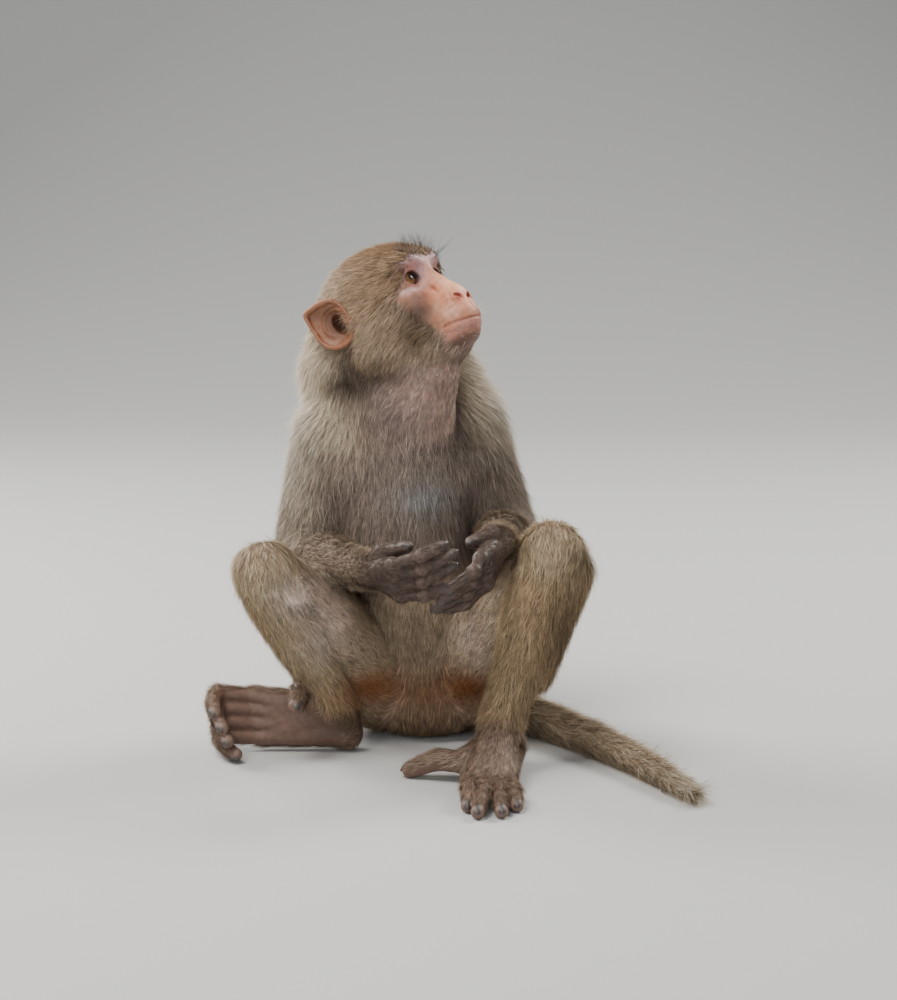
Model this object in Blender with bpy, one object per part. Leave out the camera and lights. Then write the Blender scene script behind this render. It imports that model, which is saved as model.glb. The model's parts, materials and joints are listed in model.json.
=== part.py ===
"""A life-size rhesus macaque, sitting upright with its head turned to its left and raised.

The frame: +Z up, the animal faces -Y, its left side is at +X, and the origin is the middle of the flat
under its seat. Groups of tapered tubes and ovals are blended into flesh, laid flat on the floor, and
parted by thin cuts. Every radius is the skin's and the coat's depth is added to it, so that the solids
reach the tips of the coat. Ears and eyes are pieces of their own. Units are metres.
"""

import math

import bmesh
import bpy
from mathutils import Matrix, Vector

# ---------------------------------------------------------------- driving dimensions
CUT_GAP = 0.0003  # width of the thin cuts between neighbouring nodes
REST_GAP = 0.0005  # clearance left in the body where a limb rests against it
ROUND = 2  # subdivisions of the balls that the tubes are made from

# what each blended group is made with: remesh cell, smoothing passes, triangles
BODY_BLEND = (0.0024, 8, 1250)
HEAD_BLEND = (0.0013, 8, 1150)
ARM_BLEND = (0.0013, 3, 1020)
LEG_BLEND = (0.0014, 3, 940)
TAIL_BLEND = (0.0022, 6, 200)

HEAD_TURN = math.radians(52)  # to the animal's left
HEAD_LIFT = math.radians(33)
HEAD_CENTRE = Vector((-0.032, 0.000, 0.318))  # midway between the ear canals

EYE_RADIUS = 0.0092
EYE_PLACE = (0.0502, 0.0152, 0.0168)  # forward, sideways and up from the head's centre
EYE_SHOWS = 0.0024  # how far the ball stands out of its hollow

EAR_RADIUS = 0.0195
EAR_WALL = 0.0030
EAR_HOLLOW = 0.0070
EAR_PLACE = (-0.0060, 0.0465, 0.0140)

# ---------------------------------------------------------------- joints of the skeleton
PELVIS = Vector((0.000, 0.012, 0.050))
BELLY = Vector((-0.005, 0.006, 0.108))
CHEST = Vector((-0.018, 0.012, 0.190))
BACK = Vector((-0.018, 0.037, 0.204))
NECK_BASE = Vector((-0.026, 0.022, 0.246))
NECK_TOP = Vector((-0.036, 0.012, 0.300))
NAPE = Vector((-0.047, 0.026, 0.288))

SHOULDER = {"right": Vector((-0.069, 0.012, 0.232)), "left": Vector((0.028, 0.032, 0.238))}
ELBOW = {"right": Vector((-0.093, 0.016, 0.139)), "left": Vector((0.062, 0.018, 0.154))}
WRIST = {"right": Vector((-0.037, -0.107, 0.152)), "left": Vector((0.055, -0.105, 0.173))}
HIP = {"right": Vector((-0.040, 0.002, 0.046)), "left": Vector((0.040, 0.002, 0.048))}
KNEE = {"right": Vector((-0.120, -0.090, 0.149)), "left": Vector((0.096, -0.100, 0.165))}
ANKLE = {"right": Vector((-0.067, -0.052, 0.032)), "left": Vector((0.057, -0.116, 0.036))}
ANKLE_CUT = {"right": (-0.35, -0.25, -0.90), "left": (-0.25, -0.59, -0.77)}  # facing the foot

TAIL_ROOT = Vector((0.010, 0.052, 0.036))
TAIL_BEND = Vector((0.110, 0.015, 0.002))
TAIL_TIP = Vector((0.192, -0.190, 0.006))
TAIL_STEPS = 8


def unit(*values):
    """The direction of these three numbers."""
    return Vector(values).normalized()


# ---------------------------------------------------------------- the head's own axes
FORWARD = unit(
    math.sin(HEAD_TURN) * math.cos(HEAD_LIFT),
    -math.cos(HEAD_TURN) * math.cos(HEAD_LIFT),
    math.sin(HEAD_LIFT),
)
LEFT = unit(math.cos(HEAD_TURN), math.sin(HEAD_TURN), 0.0)
UP = FORWARD.cross(LEFT)
HEAD_AXES = Matrix((FORWARD, LEFT, UP)).transposed()


def in_head(forward, left, up):
    """The point this far forward, left and up from the head's centre."""
    return HEAD_CENTRE + FORWARD * forward + LEFT * left + UP * up


# ---------------------------------------------------------------- hands and feet
DIGIT_COAT = 0.0006
FINGER_RADII = (0.0050, 0.0041)
THUMB_RADII = (0.0062, 0.0050)
TOE_RADII = (0.0060, 0.0052)
HALLUX_RADII = (0.0092, 0.0066)

# each digit runs from its knuckle through a bend to its tip; index first, little last
HANDS = {
    "right": {
        "knuckles": (Vector((-0.022, -0.149, 0.165)), Vector((-0.016, -0.138, 0.141))),
        "bends": (Vector((-0.001, -0.169, 0.176)), Vector((0.001, -0.156, 0.145))),
        "tips": (
            Vector((0.014, -0.166, 0.183)),
            Vector((0.021, -0.165, 0.177)),
            Vector((0.021, -0.162, 0.167)),
            Vector((0.013, -0.156, 0.150)),
        ),
        "thumb": (Vector((-0.030, -0.122, 0.170)), Vector((-0.012, -0.136, 0.176))),
    },
    "left": {
        "knuckles": (Vector((0.042, -0.149, 0.170)), Vector((0.046, -0.134, 0.149))),
        "bends": (Vector((0.037, -0.160, 0.163)), Vector((0.030, -0.137, 0.134))),
        "tips": (
            Vector((0.019, -0.158, 0.149)),
            Vector((0.013, -0.151, 0.139)),
            Vector((0.009, -0.142, 0.132)),
            Vector((0.009, -0.131, 0.129)),
        ),
        "thumb": (Vector((0.050, -0.117, 0.182)), Vector((0.035, -0.132, 0.179))),
    },
}
FEET = {
    "left": {
        "heel": Vector((0.064, -0.102, 0.0125)),
        "knuckles": (Vector((0.034, -0.178, 0.0110)), Vector((0.062, -0.172, 0.0085))),
        "bends": (Vector((0.033, -0.203, 0.0120)), Vector((0.065, -0.198, 0.0090))),
        "tips": (
            Vector((0.032, -0.222, 0.0050)),
            Vector((0.039, -0.238, 0.0050)),
            Vector((0.056, -0.236, 0.0050)),
            Vector((0.067, -0.221, 0.0050)),
        ),
        "hallux": (
            Vector((0.032, -0.141, 0.0150)),
            Vector((0.010, -0.136, 0.0150)),
            Vector((-0.010, -0.130, 0.0060)),
        ),
    },
    "right": {
        "heel": Vector((-0.060, -0.051, 0.0140)),
        "knuckles": (Vector((-0.130, -0.050, 0.0430)), Vector((-0.126, -0.052, 0.0110))),
        "bends": (Vector((-0.159, -0.058, 0.0470)), Vector((-0.157, -0.064, 0.0140))),
        "tips": (
            Vector((-0.159, -0.084, 0.0380)),
            Vector((-0.153, -0.091, 0.0280)),
            Vector((-0.149, -0.093, 0.0180)),
            Vector((-0.143, -0.090, 0.0070)),
        ),
        "hallux": (
            Vector((-0.084, -0.056, 0.0390)),
            Vector((-0.094, -0.070, 0.0510)),
            Vector((-0.097, -0.093, 0.0455)),
        ),
    },
}


# ---------------------------------------------------------------- building blocks
def mesh_object(name, bm, helper=False):
    """A new object in the scene from bm, which is freed. A helper is hidden from the render."""
    mesh = bpy.data.meshes.new(name)
    bmesh.ops.recalc_face_normals(bm, faces=bm.faces)
    bm.to_mesh(mesh)
    bm.free()
    made = bpy.data.objects.new(name, mesh)
    bpy.context.scene.collection.objects.link(made)
    if helper:
        made.hide_render = True
        made.display_type = "WIRE"
    return made


def ball_points(centre, radius, detail):
    """Points over a ball."""
    bm = bmesh.new()
    bmesh.ops.create_icosphere(
        bm, subdivisions=detail, radius=radius, matrix=Matrix.Translation(centre)
    )
    points = [vert.co.copy() for vert in bm.verts]
    bm.free()
    return points


def add_hull(bm, balls, detail=ROUND):
    """Adds the convex hull of balls, each a centre and a radius, to bm."""
    points = [point for centre, radius in balls for point in ball_points(centre, radius, detail)]
    verts = [bm.verts.new(point) for point in points]
    made = bmesh.ops.convex_hull(bm, input=verts, use_existing_faces=False)
    spare = {item for item in made["geom_interior"] + made["geom_unused"] if item.is_valid}
    bmesh.ops.delete(bm, geom=[v for v in spare if isinstance(v, bmesh.types.BMVert)], context="VERTS")


def add_tube(bm, start, end, start_radius, end_radius, coat):
    """Adds a tapered tube with round ends, the coat's depth added to both radii."""
    add_hull(bm, [(start, start_radius + coat), (end, end_radius + coat)])


def add_oval(bm, centre, radii, coat, axes=None):
    """Adds an ellipsoid with its radii along the three axes given, or along X, Y and Z."""
    turn = axes.to_4x4() if axes else Matrix.Identity(4)
    size = Matrix.Diagonal([radius + coat for radius in radii] + [1.0])
    bmesh.ops.create_icosphere(
        bm, subdivisions=ROUND + 1, radius=1.0, matrix=Matrix.Translation(centre) @ turn @ size
    )


def add_chain(bm, points, radii, coat):
    """Adds tubes through the points, tapering evenly from the first radius to the last."""
    steps = len(points) - 1
    for step in range(steps):
        here = radii[0] + (radii[1] - radii[0]) * step / steps
        there = radii[0] + (radii[1] - radii[0]) * (step + 1) / steps
        add_tube(bm, points[step], points[step + 1], here, there, coat)


def digit(limb, number):
    """The joints of one of the four long digits: knuckle, bend, last joint and tip."""
    share = number / 3
    knuckle = limb["knuckles"][0].lerp(limb["knuckles"][1], share)
    bend = limb["bends"][0].lerp(limb["bends"][1], share)
    tip = limb["tips"][number]
    outward = bend - knuckle.lerp(tip, 0.5)
    return [knuckle, bend, bend.lerp(tip, 0.55) + outward * 0.16, tip]


# ---------------------------------------------------------------- forms of the body
def add_trunk(bm):
    """Seat, pelvis, belly, rib cage, the arch of the back and the muscle over the shoulders."""
    add_oval(bm, Vector((0.000, 0.006, 0.024)), (0.050, 0.040, 0.0234), 0.002)
    add_oval(bm, PELVIS, (0.054, 0.044, 0.044), 0.007)
    add_oval(bm, BELLY, (0.050, 0.048, 0.062), 0.009)
    add_oval(bm, CHEST, (0.052, 0.050, 0.066), 0.010)
    loin = BELLY + Vector((0, 0.031, 0.020))
    add_tube(bm, PELVIS + Vector((0, 0.014, 0.018)), loin, 0.034, 0.038, 0.010)
    add_tube(bm, loin, BACK, 0.038, 0.036, 0.011)
    add_tube(bm, BACK, NECK_BASE, 0.036, 0.036, 0.012)
    add_tube(bm, SHOULDER["right"], SHOULDER["left"], 0.024, 0.024, 0.010)
    add_tube(bm, Vector((-0.046, 0.004, 0.212)), Vector((0.016, 0.016, 0.212)), 0.034, 0.034, 0.010)
    add_tube(bm, Vector((-0.014, 0.000, 0.246)), Vector((-0.014, 0.004, 0.160)), 0.034, 0.046, 0.009)


def add_neck(bm):
    """The thick neck, with the mane that hides the nape and slopes to the shoulders."""
    add_tube(bm, NECK_BASE, NECK_TOP, 0.042, 0.036, 0.010)
    add_tube(bm, NECK_BASE, NAPE, 0.041, 0.036, 0.011)
    add_tube(bm, SHOULDER["left"], Vector((0.004, 0.042, 0.280)), 0.024, 0.024, 0.013)
    add_tube(bm, SHOULDER["right"], NECK_TOP.lerp(NECK_BASE, 0.3), 0.022, 0.034, 0.010)
    add_tube(bm, in_head(0.045, 0, -0.038), Vector((-0.006, -0.010, 0.256)), 0.016, 0.028, 0.005)


def add_head(bm):
    """Brain case, brow, muzzle, jaws and cheeks."""
    add_oval(bm, in_head(0.008, 0, 0.020), (0.052, 0.0345, 0.038), 0.0075, HEAD_AXES)
    add_oval(bm, in_head(0.037, 0, 0.023), (0.028, 0.029, 0.026), 0.0050, HEAD_AXES)
    brow_left, brow_right = in_head(0.0600, 0.0120, 0.0290), in_head(0.0600, -0.0120, 0.0290)
    add_tube(bm, brow_left, brow_right, 0.0062, 0.0062, 0.0015)
    for side, brow in ((1, brow_left), (-1, brow_right)):
        add_tube(bm, brow, in_head(0.0530, side * 0.0225, 0.0260), 0.0062, 0.0060, 0.0015)
    add_tube(bm, in_head(0.0600, 0, 0.0220), in_head(0.0765, 0, -0.0060), 0.0062, 0.0064, 0.0005)
    add_tube(bm, in_head(0.040, 0, -0.012), in_head(0.0720, 0, -0.0260), 0.0240, 0.0155, 0.001)
    add_tube(bm, in_head(0.0770, 0.0028, -0.0120), in_head(0.0770, -0.0028, -0.0120), 0.0078, 0.0078, 0.0005)
    add_oval(bm, in_head(0.0725, 0, -0.0280), (0.0145, 0.0175, 0.0115), 0.001, HEAD_AXES)
    add_oval(bm, in_head(0.0665, 0, -0.0400), (0.0145, 0.0130, 0.0085), 0.0015, HEAD_AXES)
    for side in (1, -1):
        jaw = in_head(0.008, side * 0.020, -0.014)
        add_tube(bm, jaw, in_head(0.060, side * 0.007, -0.037), 0.018, 0.0095, 0.004)
        cheek = in_head(0.052, side * 0.013, -0.008)
        add_tube(bm, in_head(0.010, side * 0.018, 0.002), cheek, 0.022, 0.0130, 0.003)
        cheekbone = in_head(0.054, side * 0.0195, 0.003)
        add_tube(bm, in_head(0.030, side * 0.024, 0.012), cheekbone, 0.010, 0.0075, 0.002)


def add_arm(bm, side):
    """The upper arm, with enough of the forearm to round the elbow."""
    shoulder, elbow, wrist = SHOULDER[side], ELBOW[side], WRIST[side]
    add_tube(bm, shoulder, elbow, 0.027, 0.020, 0.010)
    add_tube(bm, shoulder.lerp(elbow, 0.25), elbow.lerp(shoulder, 0.2), 0.028, 0.023, 0.010)
    add_tube(bm, elbow, elbow.lerp(wrist, 0.3), 0.0200, 0.0185, 0.006)


def add_forearm(bm, side):
    """The forearm, fuller near the elbow."""
    elbow, wrist = ELBOW[side], WRIST[side]
    add_tube(bm, elbow, wrist, 0.0185, 0.0115, 0.005)
    add_tube(bm, elbow, elbow.lerp(wrist, 0.45), 0.0200, 0.0175, 0.006)


def add_hand(bm, side):
    """Palm, four fingers and thumb, held as if round a fruit."""
    hand, wrist = HANDS[side], WRIST[side]
    for number in range(4):
        points = digit(hand, number)
        add_tube(bm, wrist.lerp(points[0], 0.12), points[0], 0.0095, 0.0062, DIGIT_COAT)
        add_chain(bm, points, FINGER_RADII, DIGIT_COAT)
    root, tip = hand["thumb"]
    add_tube(bm, wrist, root, 0.0110, 0.0074, DIGIT_COAT)
    add_chain(bm, [root, tip], THUMB_RADII, DIGIT_COAT)


def add_thigh(bm, side):
    """The thigh, with enough of the shank to round the knee."""
    hip, knee, ankle = HIP[side], KNEE[side], ANKLE[side]
    add_tube(bm, hip, knee, 0.038, 0.0205, 0.006)
    add_tube(bm, hip + Vector((0, 0.006, 0.002)), hip.lerp(knee, 0.5), 0.039, 0.031, 0.006)
    add_tube(bm, knee, knee.lerp(ankle, 0.3), 0.0200, 0.0205, 0.007)


def add_shank(bm, side):
    """The shank, its calf fuller near the knee."""
    knee, ankle = KNEE[side], ANKLE[side]
    add_tube(bm, knee, ankle, 0.0200, 0.0125, 0.0065)
    add_tube(bm, knee.lerp(ankle, 0.14), knee.lerp(ankle, 0.5), 0.0225, 0.0190, 0.0075)


def add_foot(bm, side):
    """Heel, sole, four toes and the thumb-like great toe."""
    foot, ankle = FEET[side], ANKLE[side]
    for number in range(4):
        points = digit(foot, number)
        add_tube(bm, foot["heel"], points[0], 0.0115, 0.0072, 0.001)
        add_tube(bm, ankle, points[0], 0.0120, 0.0070, 0.0015)
        add_chain(bm, points, TOE_RADII, DIGIT_COAT)
    add_tube(bm, ankle, foot["heel"], 0.0130, 0.0118, 0.002)
    add_tube(bm, ankle.lerp(foot["heel"], 0.4), foot["hallux"][0], 0.0120, 0.0100, 0.001)
    add_chain(bm, foot["hallux"], HALLUX_RADII, DIGIT_COAT)


def tail_points():
    """Points along the tail, which bows out from the seat and lies on the floor."""
    points = []
    for step in range(TAIL_STEPS + 1):
        share = step / TAIL_STEPS
        near, far = TAIL_ROOT.lerp(TAIL_BEND, share), TAIL_BEND.lerp(TAIL_TIP, share)
        points.append(near.lerp(far, share))
        points[-1].z = max(points[-1].z, 0.0180 - 0.0108 * share)
    return points


def add_tail(bm):
    """The tail, fluffiest past its middle, with a drawn-out tip."""
    points = tail_points()
    add_chain(bm, points[:6], (0.0120, 0.0085), 0.009)
    add_chain(bm, points[5:], (0.0085, 0.0030), 0.0085)
    add_chain(bm, [points[-1], points[-1] + (points[-1] - points[-2]) * 0.5], (0.006, 0.0035), 0.002)


# ---------------------------------------------------------------- blending and shaping
def evaluated_mesh(source):
    """A plain mesh of the object with its modifiers applied."""
    graph = bpy.context.evaluated_depsgraph_get()
    return bpy.data.meshes.new_from_object(source.evaluated_get(graph))


def blended(name, bm, blend, shape=None):
    """One closed skin over the forms in bm, smoothed, shaped and thinned, and flat where it rests."""
    cell, passes, triangles = blend
    forms = mesh_object(name + "_forms", bm, helper=True)
    remesh = forms.modifiers.new("blend", "REMESH")
    remesh.mode = "VOXEL"
    remesh.voxel_size = cell
    smooth = forms.modifiers.new("round", "SMOOTH")
    smooth.factor = 0.5
    smooth.iterations = passes

    bm = bmesh_of(evaluated_mesh(forms))
    if shape:
        shape(bm)
    bmesh.ops.triangulate(bm, faces=bm.faces)
    faces = len(bm.faces)
    dense = mesh_object(name + "_dense", bm, helper=True)
    thin = dense.modifiers.new("thin", "DECIMATE")
    thin.ratio = triangles / faces

    bm = bmesh_of(evaluated_mesh(dense))
    clip(bm, [(Vector(), Vector((0, 0, 1)))])
    return mesh_object(name, bm, helper=True)


def clip(bm, planes):
    """Keeps the part of bm on the side that each plane, a point and a normal, faces."""
    for point, normal in planes:
        everything = bm.verts[:] + bm.edges[:] + bm.faces[:]
        bmesh.ops.bisect_plane(bm, geom=everything, plane_co=point, plane_no=-normal, clear_outer=True)
        bmesh.ops.holes_fill(bm, edges=[edge for edge in bm.edges if edge.is_boundary])
    bmesh.ops.triangulate(bm, faces=[face for face in bm.faces if len(face.verts) > 4])


def press_plane(bm, centre, normal, reach, share):
    """Draws the points near centre, and in front of the plane through it, back to that plane."""
    for vert in bm.verts:
        offset = vert.co - centre
        height = offset.dot(normal)
        if height < 0 or height > 0.03:
            continue
        aside = (offset - normal * height).length / reach
        if aside < 1:
            vert.co -= normal * height * share * min(1.0, 1.6 * (1 - aside * aside))


def press_point(bm, centre, reach, push):
    """Moves the points within reach of centre by push, fading smoothly to nothing."""
    for vert in bm.verts:
        share = (vert.co - centre).length / reach
        if share < 1:
            vert.co += push * (1 - share * share) ** 2


def shape_face(bm):
    """Presses in the eye hollows, the nostrils and the mouth line."""
    forward, sideways, up = EYE_PLACE
    for side in (1, -1):
        look = (FORWARD * 0.98 + LEFT * side * 0.15).normalized()
        ball = in_head(forward, side * sideways, up)
        press_plane(bm, ball + look * (EYE_RADIUS - EYE_SHOWS), look, 0.0118, 1.0)
        flat = in_head(EAR_PLACE[0], side * EAR_PLACE[1], EAR_PLACE[2])
        flat -= ear_facing(side) * (EAR_HOLLOW + EAR_WALL - 0.0006)
        press_plane(bm, flat, ear_facing(side), 0.0215, 1.0)
        press_point(bm, in_head(0.0860, side * 0.0050, -0.0160), 0.0040, FORWARD * -0.0020)
        for step in range(8):
            angle = math.radians(10 * step)
            line = in_head(
                0.0640 + 0.0245 * math.cos(angle),
                side * 0.0185 * math.sin(angle),
                -0.0355 + 0.0055 * (1 - math.cos(angle)),
            )
            inward = (in_head(0.050, 0, -0.034) - line).normalized()
            press_point(bm, line, 0.0048, inward * 0.0015)


# ---------------------------------------------------------------- parting
def grown(source, amount):
    """A copy of the object with its surface moved out by amount."""
    bm = bmesh_of(source.data)
    bm.normal_update()
    moved = {}
    for vert in bm.verts:
        planes = [face.normal for face in vert.link_faces]
        push = sum(planes, Vector()).normalized()
        reach = amount / max(0.4, min(push.dot(normal) for normal in planes))
        moved[vert] = vert.co + push * reach
    for vert, place in moved.items():
        vert.co = place
    return mesh_object(source.name + "_grown", bm, helper=True)


def bmesh_of(mesh):
    """The mesh as a bmesh."""
    bm = bmesh.new()
    bm.from_mesh(mesh)
    return bm


def hull_region(name, balls, planes):
    """A convex space over the balls, cut back to the side that each plane faces."""
    bm = bmesh.new()
    add_hull(bm, balls, detail=1)
    clip(bm, planes)
    return mesh_object(name + "_region", bm, helper=True)


def boolean(target, other, operation):
    """The target's mesh after one exact Boolean with other."""
    step = target.modifiers.new("cut", "BOOLEAN")
    step.operation = operation
    step.object = other
    step.solver = "EXACT"
    step.use_self = True
    mesh = evaluated_mesh(target)
    target.modifiers.remove(step)
    return mesh


def main_body(mesh):
    """Keeps the largest connected piece of the mesh, and leaves it closed and triangulated."""
    bm = bmesh_of(mesh)
    left, bodies = set(bm.verts), []
    while left:
        stack, found = [left.pop()], set()
        while stack:
            vert = stack.pop()
            found.add(vert)
            for edge in vert.link_edges:
                other = edge.other_vert(vert)
                if other in left:
                    left.discard(other)
                    stack.append(other)
        bodies.append(found)
    bodies.sort(key=len)
    for spare in bodies[:-1]:
        bmesh.ops.delete(bm, geom=list(spare), context="VERTS")
    bmesh.ops.triangulate(bm, faces=bm.faces)
    bm.to_mesh(mesh)
    bm.free()
    return mesh


def take(body, space):
    """Cuts the space's share out of the body with a gap, and gives that share's mesh."""
    share = main_body(boolean(body, space, "INTERSECT"))
    body.data = boolean(body, grown(space, CUT_GAP), "DIFFERENCE")
    return share


def make_way(target, other):
    """Cuts the target back from a node that it touches."""
    target.data = boolean(target, grown(other, CUT_GAP), "DIFFERENCE")
    target.data = main_body(boolean(target, other, "DIFFERENCE"))


def bend_plane(joint, before, after):
    """The plane through a bent joint that halves its angle, facing the bone towards after."""
    normal = (after - joint).normalized() - (before - joint).normalized()
    return joint, normal.normalized()


def shifted(plane, amount):
    """The plane moved along its normal."""
    return plane[0] + plane[1] * amount, plane[1]


def clipped(name, source, planes):
    """A copy of the object cut back to the side that each plane faces."""
    bm = bmesh_of(source.data)
    clip(bm, planes)
    return mesh_object(name, bm, helper=True)


def flipped(plane):
    """The same plane facing the other way."""
    return plane[0], -plane[1]


def build_limb(side, joints, add_forms, blend, names):
    """Forearm and hand, or shank and foot: one blended limb cut from its neighbour and at its end joint."""
    before, joint, end, reach = joints
    bm = bmesh.new()
    for add_form in add_forms:
        add_form(bm, side)
    limb = blended(f"{names[0]}_{side}_limb", bm, blend)
    upper = bend_plane(joint, before, end)
    if names[1] == "hand":
        lower = shifted(bend_plane(end, joint, reach), -0.004)
        ends = [shifted(lower, CUT_GAP)]
    else:
        lower = shifted((end, unit(*ANKLE_CUT[side])), -0.004)
        ends = [shifted(lower, CUT_GAP), (FEET[side]["heel"] + Vector((0, 0.020, 0)), unit(0, -1, 0))]
    near = clipped(f"{names[0]}_{side}", limb, [upper, flipped(lower)])
    far = clipped(f"{names[1]}_{side}", limb, ends)
    near.data = main_body(near.data)
    far.data = main_body(far.data)
    stub = [(joint, 0.036), (joint.lerp(end, 0.42), 0.036)]
    return near, far, hull_region(f"{names[0]}_{side}_stub", stub, [upper])


def build_head():
    """The head above a nearly level cut under the jaw, and the plane of that cut."""
    bm = bmesh.new()
    add_neck(bm)
    add_head(bm)
    whole = blended("head_and_neck", bm, HEAD_BLEND, shape_face)
    plane = (in_head(-0.010, 0, -0.030), (FORWARD * 0.45 + UP * 0.89).normalized())
    head = clipped("head", whole, [plane])
    head.data = main_body(head.data)
    return head, plane


def build_nodes():
    """Every node of the flesh, as name and object."""
    nodes, stubs = {}, []
    for side in ("left", "right"):
        palm = HANDS[side]["knuckles"][0].lerp(HANDS[side]["knuckles"][1], 0.5)
        joints = (SHOULDER[side], ELBOW[side], WRIST[side], palm)
        forms = (add_arm, add_forearm, add_hand)
        near, far, stub = build_limb(side, joints, forms, ARM_BLEND, ("forearm", "hand"))
        nodes.update({near.name: near, far.name: far})
        stubs.append(stub)
        ball = FEET[side]["knuckles"][0].lerp(FEET[side]["knuckles"][1], 0.5)
        joints = (HIP[side], KNEE[side], ANKLE[side], ball)
        forms = (add_thigh, add_shank, add_foot)
        near, far, stub = build_limb(side, joints, forms, LEG_BLEND, ("shank", "foot"))
        nodes.update({near.name: near, far.name: far})
        stubs.append(stub)
    make_way(nodes["shank_left"], nodes["forearm_left"])
    make_way(nodes["shank_left"], nodes["hand_left"])
    make_way(nodes["hand_left"], nodes["hand_right"])
    nodes["head"], head_plane = build_head()

    bm = bmesh.new()
    add_tail(bm)
    points = tail_points()
    root = (points[1], (points[2] - points[0]).normalized())
    nodes["tail"] = clipped("tail", blended("whole_tail", bm, TAIL_BLEND), [root])
    nodes["tail"].data = main_body(nodes["tail"].data)

    bm = bmesh.new()
    add_trunk(bm)
    add_neck(bm)
    add_tube(bm, points[0], points[2], 0.012, 0.011, 0.009)
    add_oval(bm, in_head(0.008, 0, 0.010), (0.046, 0.032, 0.034), 0.0065, HEAD_AXES)
    for side in ("left", "right"):
        add_arm(bm, side)
        add_thigh(bm, side)
    body = blended("body", bm, BODY_BLEND)
    body = clipped("body_below_head", body, [flipped(shifted(head_plane, -CUT_GAP))])
    for stub in stubs:
        body.data = boolean(body, stub, "DIFFERENCE")
    for name, node in nodes.items():
        if name.startswith(("forearm", "shank")) or name in ("foot_right", "tail"):
            body.data = boolean(body, grown(node, REST_GAP), "DIFFERENCE")
            body.data = boolean(body, node, "DIFFERENCE")

    for side, sign in (("left", 1), ("right", -1)):
        shoulder, elbow, hip, knee = SHOULDER[side], ELBOW[side], HIP[side], KNEE[side]
        armpit = (shoulder - Vector((sign * 0.010, 0, 0)), unit(sign * 0.97, sign * 0.15, 0.08))
        space = hull_region(f"upper_arm_{side}", [(shoulder, 0.050), (elbow, 0.040)], [armpit])
        nodes[f"upper_arm_{side}"] = node_of(f"upper_arm_{side}", take(body, space))
        groin = (hip.lerp(knee, 0.10), unit(sign * 0.70, -0.70, 0.10))
        space = hull_region(f"thigh_{side}", [(hip, 0.058), (knee, 0.042)], [groin])
        nodes[f"thigh_{side}"] = node_of(f"thigh_{side}", take(body, space))
    collar = (NECK_BASE + Vector((0, 0, 0.016)), unit(0, -0.20, 1.0))
    space = hull_region("neck", [(NECK_BASE, 0.13), (NECK_TOP + Vector((0, 0, 0.05)), 0.13)], [collar])
    nodes["neck"] = node_of("neck", take(body, space))
    nodes["trunk"] = node_of("trunk", main_body(body.data))
    return nodes


def node_of(name, mesh):
    """A new object in the scene with this mesh."""
    made = bpy.data.objects.new(name, mesh)
    bpy.context.scene.collection.objects.link(made)
    return made


# ---------------------------------------------------------------- eyes and ears
def eye(side):
    """One eyeball, its poles along the head's forward axis."""
    forward, sideways, up = EYE_PLACE
    bm = bmesh.new()
    place = Matrix.Translation(in_head(forward, side * sideways, up)) @ HEAD_AXES.to_4x4()
    turn = Matrix.Rotation(math.radians(90), 4, "Y")
    bmesh.ops.create_uvsphere(bm, u_segments=12, v_segments=6, radius=EYE_RADIUS, matrix=place @ turn)
    return bm


def ear_outline(angle):
    """The ear's radius this far round from its front edge: rounded, drawn up to a tip at the back."""
    tip = math.exp(-((angle - math.radians(128)) / 0.42) ** 2)
    notch = math.exp(-((angle - math.radians(205)) / 0.60) ** 2)
    return EAR_RADIUS * (1.0 + 0.13 * tip - 0.20 * notch)


def ear_facing(side):
    """The way that the ear's hollow faces."""
    return (LEFT * side * 0.95 + FORWARD * 0.28 - UP * 0.10).normalized()


def ear(side):
    """One ear: a shallow cup with a rounded outline and a thick enough wall."""
    bm = bmesh.new()
    rings, around = 2, 16
    outward = ear_facing(side)
    tall = (UP * 0.94 + LEFT * side * 0.20 - FORWARD * 0.05).normalized()
    tall = (tall - outward * tall.dot(outward)).normalized()
    front = outward.cross(tall) * (-side)
    if front.dot(FORWARD) < 0:
        front = -front
    centre = in_head(EAR_PLACE[0], side * EAR_PLACE[1], EAR_PLACE[2])
    layers = []
    for depth, grow in ((0.0, 0.0), (-EAR_WALL, 0.0004)):
        rows = []
        for ring in range(1, rings + 1):
            share = ring / rings
            row = []
            for step in range(around):
                angle = math.tau * step / around
                radius = ear_outline(angle) * share + grow
                flat = front * math.cos(angle) * radius + tall * math.sin(angle) * radius
                row.append(bm.verts.new(centre + flat + outward * (depth - EAR_HOLLOW * (1 - share**2))))
            rows.append(row)
        middle = bm.verts.new(centre + outward * (depth - EAR_HOLLOW))
        layers.append((rows, middle))
    for rows, middle in layers:
        for step in range(around):
            after = (step + 1) % around
            bm.faces.new((middle, rows[0][step], rows[0][after]))
            for inner, outer in zip(rows, rows[1:]):
                bm.faces.new((inner[step], outer[step], outer[after], inner[after]))
    rim, back = layers[0][0][-1], layers[1][0][-1]
    for step in range(around):
        after = (step + 1) % around
        bm.faces.new((rim[step], back[step], back[after], rim[after]))
    return bm


# ---------------------------------------------------------------- materials
def finish(name, colour, roughness):
    """A plain material of this colour and roughness."""
    made = bpy.data.materials.new(name)
    made.use_nodes = True
    shader = made.node_tree.nodes["Principled BSDF"]
    shader.inputs["Base Color"].default_value = (*colour, 1.0)
    shader.inputs["Roughness"].default_value = roughness
    shader.inputs["Metallic"].default_value = 0.0
    return made


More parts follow.
